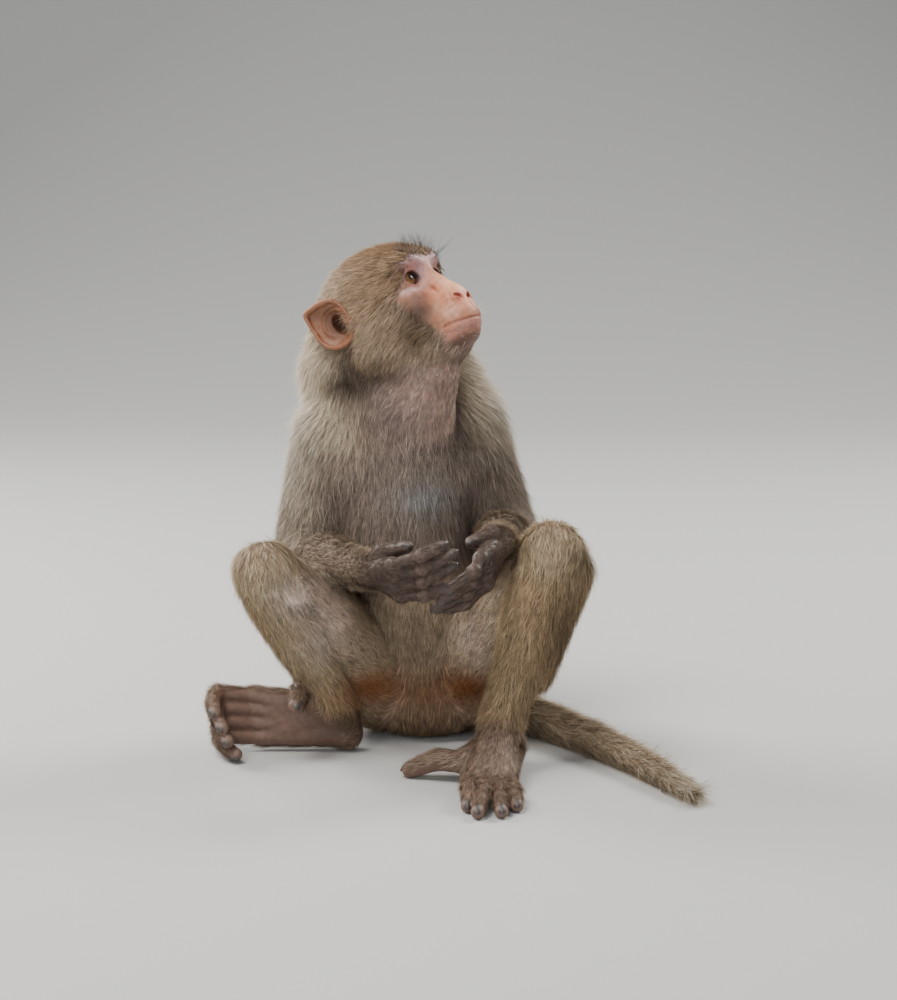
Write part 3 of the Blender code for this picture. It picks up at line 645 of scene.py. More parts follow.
@dataclass
class Ear:
    """One ear: a cupped plate with a rolled rim, a deep concha and a tragus.

    Places are frontward, upward and outward from its middle, wall is half the plate's thickness, and
    reach is how far the field is worked out.
    """

    side: int
    wall: float = 0.0013
    hollow: float = 0.007
    reach: float = 0.036
    turns = np.radians(np.arange(0, 361, 6))
    shape = np.interp(
        np.arange(-360, 721, 6) % 360,
        (0, 35, 52, 86, 106, 122, 140, 168, 212, 245, 262, 290, 319, 360),
        (16.5, 19.0, 21.3, 21.6, 22.8, 25.8, 19.2, 15.2, 16.4, 17.6, 18.4, 19.2, 19.8, 16.5),
    )
    radii = 1e-3 * np.convolve(shape, (0.25, 0.5, 0.25), "same")[60:121]

    def __post_init__(self) -> None:
        """Works out where the ear stands and its own axes."""
        side = self.side
        self.outward = unit(POSE.left * side * 0.95 + POSE.forward * 0.28 - POSE.up * 0.1)
        tall = POSE.up * 0.94 + POSE.left * side * 0.2 - POSE.forward * 0.05
        self.tall = unit(tall - self.outward * (tall @ self.outward))
        front = np.cross(self.outward, self.tall)
        self.front = front if front @ POSE.forward > 0 else -front
        self.centre = POSE.in_head(-0.006, side * 0.0465, 0.0138)

    def local(self, points: Array) -> Array:
        """Points as frontward, upward and outward from the ear's middle."""
        return (points - self.centre) @ np.stack([self.front, self.tall, self.outward]).T

    def outline(self, angle: Array) -> Array:
        """The ear's radius this far round from its front edge."""
        return np.interp(angle, self.turns, self.radii)

    @staticmethod
    def lump(local: Array, centre: Array, radii: Array, scale: float) -> Array:
        """The field of a lump or a pit; scale is its mean radius."""
        return (span((local - centre) / radii) - 1) * scale

    def add(self, whole: Array, points: Array) -> Array:
        """The field with this ear melted into it."""
        near = span(points - self.centre) < self.reach
        if not near.any():
            return whole
        local = self.local(points[near])
        x, y, z = local.T
        angle = np.mod(np.arctan2(y, x), math.tau)
        reach = np.hypot(x, y)
        edge = self.outline(angle)
        share = np.clip(reach / edge, 0, 1.3)
        concha = np.hypot((x - 0.004) / 0.0062, (y + 0.0035) / 0.0085)
        ring = np.hypot(x - 0.0035, y - 0.0005) - 0.0104
        fold = np.exp(-((ring / 0.0019) ** 2)) * fade(y - 0.6 * x, -0.01, 0.002) * 0.002
        cup = -self.hollow * (1 - share**2) - 0.0042 * np.exp(-(concha**2) * 1.6) + fold
        plate = (np.abs(z - cup) - self.wall) * 0.8
        field = carve(plate, edge - reach, 0.001)
        roll = fade(-np.abs(angle - math.radians(98)), -0.95, -0.35)
        middle = edge - 0.0014 - 0.0008 * roll
        rim = np.hypot(reach - middle, z - 0.0006 - 0.0006 * roll) - 0.0016 - 0.0008 * roll
        rim = np.where(x > 0.013, rim + 0.001, rim)
        field = melt(field, rim, 0.0012)
        tragus = self.lump(local, vec(0.012, -0.0045, -0.003), vec(0.0038, 0.0042, 0.004), 0.0038)
        field = melt(field, tragus, 0.003)
        root = self.lump(local, vec(0, 0, -0.0135), vec(0.012, 0.014, 0.009), 0.009)
        field = melt(field, root, 0.004)
        pit = self.lump(local, vec(0.0044, -0.0014, -0.0075), vec(0.005, 0.008, 0.0085), 0.0055)
        whole = whole.copy()
        whole[near] = carve(melt(whole[near], field, 0.0035), pit, 0.0022)
        return whole


@dataclass
class Face:
    """The bare face's own shapes: lids, nose, nostrils, lips and, where creased is set, its finest creases.

    Places are in the head's axes, with both sides alike.
    """

    creased: bool
    folds = [
        [(0.08, 0.0125, -0.0195), (0.072, 0.0185, -0.021), (0.064, 0.0225, -0.019)],
        [(0.0775, 0.012, -0.013), (0.07, 0.018, -0.014), (0.0625, 0.022, -0.011)],
        [(0.0755, 0.011, -0.005), (0.069, 0.016, -0.006), (0.062, 0.0205, -0.003)],
        [(0.07, 0.019, -0.027), (0.0625, 0.0235, -0.026), (0.056, 0.026, -0.021)],
        [(0.063, 0.019, -0.0345), (0.058, 0.022, -0.029), (0.056, 0.0235, -0.023)],
    ]

    def cut(self, whole: Array, points: Array) -> Array:
        """The field with the face's details added and cut in."""
        local = POSE.head_local(points)
        near = (local[:, 0] > 0.025) & (local[:, 0] < 0.11) & (np.abs(local[:, 1]) < 0.045)
        near &= (local[:, 2] > -0.065) & (local[:, 2] < 0.05) & (whole < 0.03)
        if not near.any():
            return whole
        whole = whole.copy()
        field, p = whole[near], local[near]
        mirrored = np.stack([p[:, 0], np.abs(p[:, 1]), p[:, 2]], 1)
        field = self.eyes(field, mirrored)
        field = self.nose(field, mirrored)
        field = self.lips(field, mirrored)
        if self.creased:
            field = self.creases(field, mirrored)
        whole[near] = field
        return whole

    @staticmethod
    def ball(p: Array, centre: tuple, radii: tuple) -> Array:
        """The distance to an ellipsoid, in the head's axes."""
        return oval_gap(p - np.array(centre), np.array(radii))

    @staticmethod
    def cord(p: Array, points: list[tuple], sizes: list[float]) -> Array:
        """The distance to a rounded cord.

        Args:
            p: points in the head's axes.
            points: the places that the cord runs through.
            sizes: its radius at each of them.
        """
        found = np.full(len(p), FAR)
        for start, end, radii in zip(points, points[1:], zip(sizes, sizes[1:])):
            found = np.minimum(found, tube_gap(p, np.array(start), np.array(end), radii))
        return found

    def eyes(self, field: Array, p: Array) -> Array:
        """The orbit, the lids over the eyeball and their opening."""
        centre = vec(EYE.forward, EYE.side, EYE.up)
        field = carve(field, self.ball(p, (0.069, 0.016, 0.015), (0.012, 0.011, 0.0095)), 0.006)
        lids = span(p - centre) - (EYE.radius + 0.001)
        field = melt(field, lids, 0.003)
        opening = np.maximum(self.eye_opening(p), 0.0045 - (p[:, 0] - centre[0]))
        return carve(field, opening, 0.001)

    @staticmethod
    def eye_opening(p: Array) -> Array:
        """How far each point lies outside the almond between the lids, negative within it."""
        side, up = p[:, 1] - EYE.side, p[:, 2] - EYE.up
        tilt = math.radians(11)
        across = side * math.cos(tilt) + up * math.sin(tilt) + 0.0009
        above = -side * math.sin(tilt) + up * math.cos(tilt) + 0.0008
        half, upper, lower = 0.0069, 0.0058, 0.004
        up_radius = (half**2 + upper**2) / (2 * upper)
        low_radius = (half**2 + lower**2) / (2 * lower)
        top = np.hypot(across, above + (up_radius - upper)) - up_radius
        low = np.hypot(across, above - (low_radius - lower)) - low_radius
        return np.maximum(top, low)

    def nose(self, field: Array, p: Array) -> Array:
        """The wing of the nose and its nostril."""
        field = melt(field, self.ball(p, (0.079, 0.0068, -0.0135), (0.006, 0.0042, 0.0044)), 0.003)
        nostril = self.cord(p, [(0.0866, 0.0028, -0.0162), (0.0826, 0.0072, -0.0124)], [0.0013, 0.0018])
        return carve(field, nostril, 0.0012)

    @staticmethod
    def mouth_line() -> list[tuple]:
        """Points along the closed mouth, from its middle to its corner."""
        return [
            (0.0662 + 0.018 * math.cos(a), 0.0168 * math.sin(a), -0.0322 + 0.0022 * (1 - math.cos(a)))
            for a in np.radians([0, 17, 34, 50, 66, 80])
        ]

    @classmethod
    def mouth_crease(cls) -> list[tuple]:
        """Points along the line where the lips meet, just outside the middle of the lips."""
        out = [(0.0662 + (x - 0.0662) * 1.07, y * 1.05, z) for x, y, z in cls.mouth_line()]
        return [*out, (0.065, 0.0192, -0.0322)]

    def lips(self, field: Array, p: Array) -> Array:
        """The thin edges of both lips."""
        line = self.mouth_line()
        upper = [(x - 0.0012, y * 0.96, z + 0.0022) for x, y, z in line]
        lower = [(x - 0.0018, y * 0.94, z - 0.0025) for x, y, z in line]
        field = melt(field, self.cord(p, upper, [0.0019, 0.0019, 0.0018, 0.0016, 0.0012, 0.0006]), 0.003)
        return melt(field, self.cord(p, lower, [0.0022, 0.0022, 0.0021, 0.0018, 0.0013, 0.0006]), 0.003)

    def creases(self, field: Array, p: Array) -> Array:
        """The mouth line, the folds of the lids and those that run from the nose over the cheek."""
        thick = [0.0007, 0.0007, 0.0007, 0.0007, 0.0006, 0.0004, 0.0001]
        field = carve(field, self.cord(p, self.mouth_crease(), thick), 0.0018)
        upper_lid = [(0.064, 0.0085, 0.0235), (0.0635, 0.015, 0.0262), (0.059, 0.0225, 0.0225)]
        lower_lid = [(0.0635, 0.011, 0.008), (0.061, 0.017, 0.0062), (0.056, 0.023, 0.0095)]
        wing = [(0.08, 0.0105, -0.009), (0.08, 0.0118, -0.0145), (0.0825, 0.01, -0.019)]
        field = carve(field, self.cord(p, upper_lid, [0.0006] * 3), 0.0022)
        field = carve(field, self.cord(p, lower_lid, [0.0004] * 3), 0.002)
        field = carve(field, self.cord(p, wing, [0.0004] * 3), 0.0024)
        groove = [(0.087, 0.0, -0.0195), (0.087, 0.0, -0.0265)]
        field = carve(field, self.cord(p, groove, [0.0004, 0.0003]), 0.002)
        for fold in self.folds:
            field = carve(field, self.cord(p, fold, [0.0002, 0.0004, 0.0001]), 0.0018)
        return field


# ---------------------------------------------------------------- polygonising
@dataclass(frozen=True)
class SkinSize:
    """How finely the skin is polygonised.

    Args:
        cell: grid cell of the whole body.
        block: cells along a side of one block of the coarse search.
        first_move: how far a point moves at most, once, before the skin is refined.
        later_move: how far in each of the later moves.
        lowest: how near the floor a point comes.
    """

    cell: float = 0.0019
    block: int = 8
    first_move: float = 0.0012
    later_move: float = 0.0006
    lowest: float = 0.0003


@dataclass
class Polygoniser:
    """Turns the body's field into one closed mesh of quads."""

    body: Body
    size: SkinSize

    corners = np.array([(i, j, k) for i in (0, 1) for j in (0, 1) for k in (0, 1)])
    batch = 400_000

    def sample(self) -> tuple[Array, Array]:
        """Works the field out over a grid round the body, but only near the skin.

        Returns:
            The grid's lowest corner, and the field at each of its points.
        """
        lows, highs = zip(*(form.box() for form in self.body.forms))
        cell, block = self.size.cell, self.size.block
        low = np.min(lows, axis=0) - 4 * cell - 0.012
        low[2] = -3.3 * cell
        blocks = np.ceil((np.max(highs, axis=0) + 4 * cell + 0.006 - low) / (cell * block)).astype(int)
        grid = np.stack(np.meshgrid(*(np.arange(n) for n in blocks), indexing="ij"), -1).reshape(-1, 3)
        middles = low + (grid + 0.5) * cell * block
        rough = self.body.distance(middles)
        field = np.full(blocks * block + 1, FAR, np.float32)
        for index in grid[rough < 0]:
            at = tuple(slice(i * block, (i + 1) * block + 1) for i in index)
            field[at] = np.minimum(field[at], -FAR)
        close = grid[np.abs(rough) < cell * block * 0.87 + 0.004]
        wanted = np.zeros(field.shape, bool)
        for index in close:
            wanted[tuple(slice(i * block, (i + 1) * block + 1) for i in index)] = True
        places = np.argwhere(wanted)
        for start in range(0, len(places), self.batch):
            some = places[start : start + self.batch]
            field[tuple(some.T)] = self.body.distance(low + some * cell)
        return low, field

    def mesh(self) -> tuple[Array, Array]:
        """Finds where the field changes sign.

        Returns:
            The skin's points, and the numbers of each quad's points.
        """
        low, field = self.sample()
        inside = field < 0
        count = np.zeros(np.array(field.shape) - 1, np.int8)
        for i, j, k in self.corners:
            count += inside[i : i + count.shape[0], j : j + count.shape[1], k : k + count.shape[2]]
        cells = np.argwhere((count > 0) & (count < 8))
        values = np.stack([field[tuple((cells + corner).T)] for corner in self.corners], 1)
        total, hits = np.zeros((len(cells), 3)), np.zeros(len(cells))
        for a in range(8):
            for b in range(a + 1, 8):
                if np.abs(self.corners[a] - self.corners[b]).sum() != 1:
                    continue
                va, vb = values[:, a], values[:, b]
                cross = (va < 0) != (vb < 0)
                share = np.where(cross, va / np.where(cross, va - vb, 1), 0)
                point = self.corners[a] + share[:, None] * (self.corners[b] - self.corners[a])
                total += point * cross[:, None]
                hits += cross
        points = low + (cells + total / hits[:, None]) * self.size.cell
        number = np.full(count.shape, -1, np.int32)
        number[tuple(cells.T)] = np.arange(len(cells))
        quads = []
        for axis in range(3):
            u, v = (axis + 1) % 3, (axis + 2) % 3
            first = np.take(inside, range(field.shape[axis] - 1), axis)
            after = np.take(inside, range(1, field.shape[axis]), axis)
            edges = np.argwhere(first != after)
            edges = edges[(edges[:, u] > 0) & (edges[:, v] > 0)]
            out = first[tuple(edges.T)]
            around = []
            for du, dv in ((0, 0), (1, 0), (1, 1), (0, 1)):
                at = edges.copy()
                at[:, u] -= du
                at[:, v] -= dv
                around.append(number[tuple(at.T)])
            quad = np.stack(around, 1)
            quad[~out] = quad[~out][:, ::-1]
            quads.append(quad)
        return points, np.concatenate(quads)

    def gradient(self, points: Array) -> Array:
        """The direction out of the field at the points."""
        step = 0.0003
        found = np.empty_like(points)
        for axis in range(3):
            shift = np.zeros(3)
            shift[axis] = step
            found[:, axis] = self.body.distance(points + shift) - self.body.distance(points - shift)
        return found / (2 * step)

    def settle(self, points: Array, passes: int, limit: float) -> Array:
        """Draws the points onto the field's surface, at most limit in each of the passes."""
        for _ in range(passes):
            slope = self.gradient(points)
            size = np.maximum((slope**2).sum(1), 0.25)
            move = -self.body.distance(points)[:, None] * slope / size[:, None]
            long = np.linalg.norm(move, axis=1, keepdims=True)
            points = points + move * np.minimum(1, limit / np.maximum(long, 1e-9))
        return points


@dataclass
class Skin:
    """The one skin of the whole animal, finest on the face, ears, hands and feet."""

    body: Body
    size: SkinSize = SkinSize()
    digit_reach: float = 0.018
    ear_reach: float = 0.027

    def fine_zones(self, points: Array) -> tuple[Array, Array]:
        """Finds where the skin has to be fine.

        Args:
            points: one point to a row.

        Returns:
            Which points lie on the bare face, ears, hands or feet, and which on the face or ears alone.
        """
        forward, left, up = POSE.head_local(points).T
        face = (forward > 0.046) & (np.abs(left) < 0.031) & (np.abs(up + 0.008) < 0.044) & (forward < 0.11)
        for side in (1, -1):
            face |= span(points - Ear(side).centre) < self.ear_reach
        near = face.copy()
        for side in ("left", "right"):
            hand, foot = HANDS[side], FEET[side]
            places = [*hand.knuckles, *hand.tips, *hand.bends, *foot.knuckles, *foot.tips, *foot.bends]
            for place in (*places, *THUMBS[side], *HALLUXES[side], HEELS[side]):
                near |= span(points - place) < self.digit_reach
        return near, face

    @staticmethod
    def split(points: Array, quads: Array, chosen: Array) -> tuple[Array, list[tuple[int, ...]]]:
        """Halves every edge of the faces whose points are all chosen, keeping the mesh closed.

        Args:
            points: one point to a row.
            quads: the numbers of each face's points.
            chosen: which points the finer faces may have.

        Returns:
            The points and faces of the finer mesh.
        """
        mesh = bpy.data.meshes.new("split")
        mesh.from_pydata(points.tolist(), [], [list(map(int, q)) for q in quads])
        bm = bmesh.new()
        bm.from_mesh(mesh)
        bpy.data.meshes.remove(mesh)
        bm.faces.ensure_lookup_table()
        fine = [face for face in bm.faces if all(chosen[vert.index] for vert in face.verts)]
        edges = {edge for face in fine for edge in face.edges}
        bmesh.ops.subdivide_edges(bm, edges=list(edges), cuts=1, use_grid_fill=True)
        bm.verts.index_update()
        found = np.array([vert.co for vert in bm.verts])
        faces = [tuple(vert.index for vert in face.verts) for face in bm.faces]
        bm.free()
        return found, faces

    def build(self) -> Object:
        """The skin as an object, smooth shaded."""
        maker = Polygoniser(self.body, self.size)
        points, faces = maker.mesh()
        log.info("skin: %d points before refining", len(points))
        points = maker.settle(points, 1, self.size.first_move)
        near, _ = self.fine_zones(points)
        points, faces = self.split(points, faces, near)
        _, face = self.fine_zones(points)
        points, faces = self.split(points, faces, face)
        self.body.creased = True
        near, _ = self.fine_zones(points)
        points[near] = maker.settle(points[near], 3, self.size.later_move)
        points[:, 2] = np.maximum(points[:, 2], self.size.lowest)
        mesh = bpy.data.meshes.new("skin")
        mesh.from_pydata(points.tolist(), [], [list(map(int, f)) for f in faces])
        mesh.update()
        mesh.shade_smooth()
        log.info("skin: %d points, %d faces", len(mesh.vertices), len(mesh.polygons))
        return in_scene("skin", mesh)


# ---------------------------------------------------------------- eyes
@dataclass
class Eye:
    """One smooth eyeball with a bulging cornea; its colours are the material's.

    The cornea stands out by bulge, a share of the radius, and reaches as far from the gaze as the angle
    cornea.
    """

    side: int
    around: int = 64
    rings: int = 40
    bulge: float = 0.055
    cornea: float = 0.52

    def build(self) -> Object:
        """The eyeball as an object whose own Z axis is its gaze."""
        points = []
        for ring in range(self.rings + 1):
            polar = math.pi * ring / self.rings
            radius = EYE.radius * (1.0 + self.bulge * math.exp(-((polar / self.cornea) ** 2) * 1.3))
            flat = radius * math.sin(polar)
            for step in range(self.around):
                turn = math.tau * step / self.around
                points.append((flat * math.cos(turn), flat * math.sin(turn), radius * math.cos(polar)))
        name = "eyeball_left" if self.side == 1 else "eyeball_right"
        mesh = bpy.data.meshes.new(name)
        mesh.from_pydata(points, [], ring_faces(0, self.rings + 1, self.around))
        weld(mesh)
        mesh.shade_smooth()
        eye = in_scene(name, mesh)
        gaze = unit(POSE.forward + POSE.left * self.side * 0.1 + POSE.up * 0.1)
        turn = Vector(gaze).to_track_quat("Z", "Y").to_matrix().to_4x4()
        eye.matrix_world = Matrix.Translation(EYE.centre(self.side)) @ turn
        log.info("%s: %d faces", name, len(mesh.polygons))
        return eye


# ---------------------------------------------------------------- markings, painted shade and painted light
@dataclass(frozen=True)
class Mark:
    """A soft-edged patch of colour on skin and coat alike; some are markings, some painted shade and some
    painted light.

    It reaches radii from its centre along X, Y and Z, draws the coat towards fur and the skin towards skin
    with strength at its middle, and has the share thin of its tufts missing there.
    """

    centre: Triple
    radii: Triple
    fur: Triple
    skin: Triple
    strength: float
    thin: float = 0.0

    def share(self, points: Array) -> Array:
        """How strongly the mark shows at each point."""
        offset = (points - np.array(self.centre)) / np.array(self.radii)
        return self.strength * np.exp(-(offset**2).sum(1) * 1.4)


def on_head(forward: float, left: float, up: float) -> tuple[float, ...]:
    """The world place this far forward, left and up from the middle of the head."""
    return tuple(POSE.in_head(forward, left, up))


RUST, RUST_SKIN = (0.42, 0.175, 0.068), (0.28, 0.11, 0.05)
# pale fur and skin painted on as rim light
RIM_LIGHT, RIM_LIGHT_SKIN = (0.8, 0.71, 0.57), (0.4, 0.32, 0.25)
SLATE, SLATE_SKIN = (0.42, 0.45, 0.46), (0.29, 0.31, 0.34)
# pale pink bare skin, made paler still as painted light and painted sheen
ROSE, ROSE_SKIN = (0.92, 0.76, 0.64), (0.7, 0.52, 0.44)
UMBER, UMBER_SKIN = (0.11, 0.072, 0.047), (0.06, 0.038, 0.026)
# pale colour painted on top of the knees as light falling from above
KNEE_LIGHT, KNEE_LIGHT_SKIN = (0.78, 0.62, 0.45), (0.45, 0.33, 0.24)
BODY_MARKS = (
    Mark((-0.042, -0.045, 0.048), (0.03, 0.05, 0.017), RUST, RUST_SKIN, 1.0),
    Mark((0.034, -0.042, 0.047), (0.03, 0.05, 0.018), (0.28, 0.095, 0.022), (0.18, 0.06, 0.02), 1.0),
    Mark((0.0, -0.045, 0.04), (0.045, 0.02, 0.018), RUST, RUST_SKIN, 0.4),
    Mark((0.0, -0.04, 0.196), (0.026, 0.03, 0.015), SLATE, SLATE_SKIN, 0.6),
    # painted rim light on both shoulders and the nape
    Mark((-0.096, 0.02, 0.235), (0.032, 0.045, 0.075), RIM_LIGHT, RIM_LIGHT_SKIN, 0.72),
    Mark((0.058, 0.045, 0.275), (0.032, 0.045, 0.05), RIM_LIGHT, RIM_LIGHT_SKIN, 0.85),
    Mark((-0.09, 0.045, 0.3), (0.03, 0.035, 0.045), RIM_LIGHT, RIM_LIGHT_SKIN, 0.65),
    # the inner thighs and the right inner knee: thin hair over pale bare skin, made paler by painted light
    # and a painted sheen where they lie in shade
    Mark((-0.078, -0.077, 0.108), (0.028, 0.03, 0.036), ROSE, ROSE_SKIN, 0.85, 0.6),
    Mark((-0.096, -0.1, 0.133), (0.02, 0.03, 0.017), ROSE, (0.78, 0.64, 0.59), 1.0, 0.92),
    Mark((0.036, -0.06, 0.092), (0.02, 0.03, 0.028), ROSE, ROSE_SKIN, 0.5, 0.7),
    # painted rim light on the back of the crown
    Mark(
        on_head(-0.024, 0.0, 0.038), (0.038, 0.05, 0.034), (0.78, 0.64, 0.49), (0.32, 0.24, 0.17), 0.62
    ),
    Mark((0.192, -0.19, 0.006), (0.04, 0.06, 0.03), (0.66, 0.56, 0.42), (0.28, 0.22, 0.16), 0.6),
    # painted shadow in the crevice under the ear and cheek ruff, where the neck meets the shoulder
    Mark((-0.056, -0.018, 0.282), (0.02, 0.03, 0.012), (0.045, 0.03, 0.02), UMBER_SKIN, 1.0),
    # painted shade under the jaw
    Mark((-0.032, -0.034, 0.29), (0.026, 0.03, 0.013), (0.17, 0.12, 0.09), (0.18, 0.12, 0.09), 0.85),
    # painted light on top of both knees
    Mark((-0.12, -0.092, 0.16), (0.032, 0.032, 0.026), KNEE_LIGHT, KNEE_LIGHT_SKIN, 0.55),
    Mark((0.097, -0.102, 0.176), (0.032, 0.032, 0.026), KNEE_LIGHT, KNEE_LIGHT_SKIN, 0.55),
    Mark((-0.064, -0.064, 0.024), (0.022, 0.022, 0.018), UMBER, UMBER_SKIN, 0.7),
    # painted shade on the fur under the jaw and over the cheek, alike on both sides
    *(
        Mark(on_head(forward, side * 0.025, up), radii, fur, skin, 0.9)
        for forward, up, radii, fur, skin in (
            (0.046, -0.026, (0.02, 0.016, 0.013), (0.1, 0.055, 0.026), (0.1, 0.06, 0.035)),
            (0.055, -0.01, (0.013, 0.013, 0.01), (0.085, 0.052, 0.034), (0.08, 0.045, 0.03)),
        )
        for side in (1, -1)
    ),
    # painted shade on the fur and skin under the chin
    Mark(on_head(0.05, 0.0, -0.048), (0.02, 0.02, 0.01), (0.24, 0.17, 0.125), (0.22, 0.14, 0.11), 0.6),
    # painted shade low on the throat, under the chin
    Mark((-0.022, -0.032, 0.256), (0.04, 0.03, 0.02), (0.24, 0.18, 0.15), (0.26, 0.18, 0.15), 0.8),
    Mark((0.012, -0.04, 0.281), (0.022, 0.03, 0.015), (0.36, 0.25, 0.215), (0.36, 0.22, 0.19), 0.75),
    # painted shade down the outer side of the left shank
    Mark((0.1, -0.108, 0.108), (0.018, 0.035, 0.05), (0.22, 0.155, 0.085), (0.12, 0.08, 0.05), 0.75),
    Mark((0.066, -0.15, 0.01), (0.04, 0.03, 0.022), (0.66, 0.54, 0.46), (0.24, 0.16, 0.13), 0.75),
    # painted shade on the outer side of the left upper arm
    Mark((0.064, 0.0, 0.19), (0.016, 0.04, 0.035), (0.26, 0.2, 0.155), (0.15, 0.11, 0.08), 0.6),
)
# the face's colours, some of them painted shade, in the head's axes with both sides alike: middle, reach,
# colour, strength
FACE_MARKS = (
    ((0.062, 0.013, 0.03), (0.014, 0.016, 0.006), (0.48, 0.32, 0.34), 0.8),
    ((0.062, 0.024, 0.019), (0.01, 0.006, 0.012), (0.2, 0.115, 0.11), 0.8),
    ((0.064, 0.008, 0.02), (0.01, 0.005, 0.01), (0.5, 0.33, 0.35), 0.8),
    ((0.058, 0.017, 0.0075), (0.012, 0.01, 0.0028), (0.58, 0.42, 0.41), 0.8),
    ((0.06, 0.021, -0.001), (0.014, 0.011, 0.006), (0.18, 0.1, 0.082), 0.75),
    ((0.078, 0.0, -0.003), (0.014, 0.009, 0.014), (0.9, 0.44, 0.26), 0.9),
    ((0.086, 0.0, -0.014), (0.007, 0.01, 0.006), (0.64, 0.22, 0.14), 0.85),
    # painted shade inside the nostril
    ((0.084, 0.006, -0.014), (0.0036, 0.0036, 0.0032), (0.26, 0.022, 0.014), 1.0),
    ((0.076, 0.015, -0.022), (0.012, 0.006, 0.006), (0.48, 0.25, 0.16), 0.7),
    # painted shade on the cheek, below the outer corner of the eye
    ((0.056, 0.025, -0.0085), (0.014, 0.012, 0.014), (0.15, 0.08, 0.054), 0.66),
    # painted shade on the cheek
    ((0.0635, 0.022, -0.013), (0.009, 0.006, 0.006), (0.11, 0.058, 0.04), 0.65),
    ((0.056, 0.022, -0.024), (0.014, 0.01, 0.007), (0.16, 0.088, 0.06), 0.7),
    # painted shade, darkest on the cheek
    ((0.058, 0.025, -0.0105), (0.011, 0.01, 0.0075), (0.048, 0.023, 0.014), 0.84),
    ((0.078, 0.0, -0.026), (0.012, 0.016, 0.0035), (0.54, 0.3, 0.23), 0.6),
    ((0.077, 0.0, -0.0365), (0.014, 0.018, 0.004), (0.56, 0.28, 0.24), 0.8),
    # painted shade under the chin
    ((0.07, 0.01, -0.0455), (0.022, 0.03, 0.008), (0.1, 0.056, 0.042), 0.97),
)


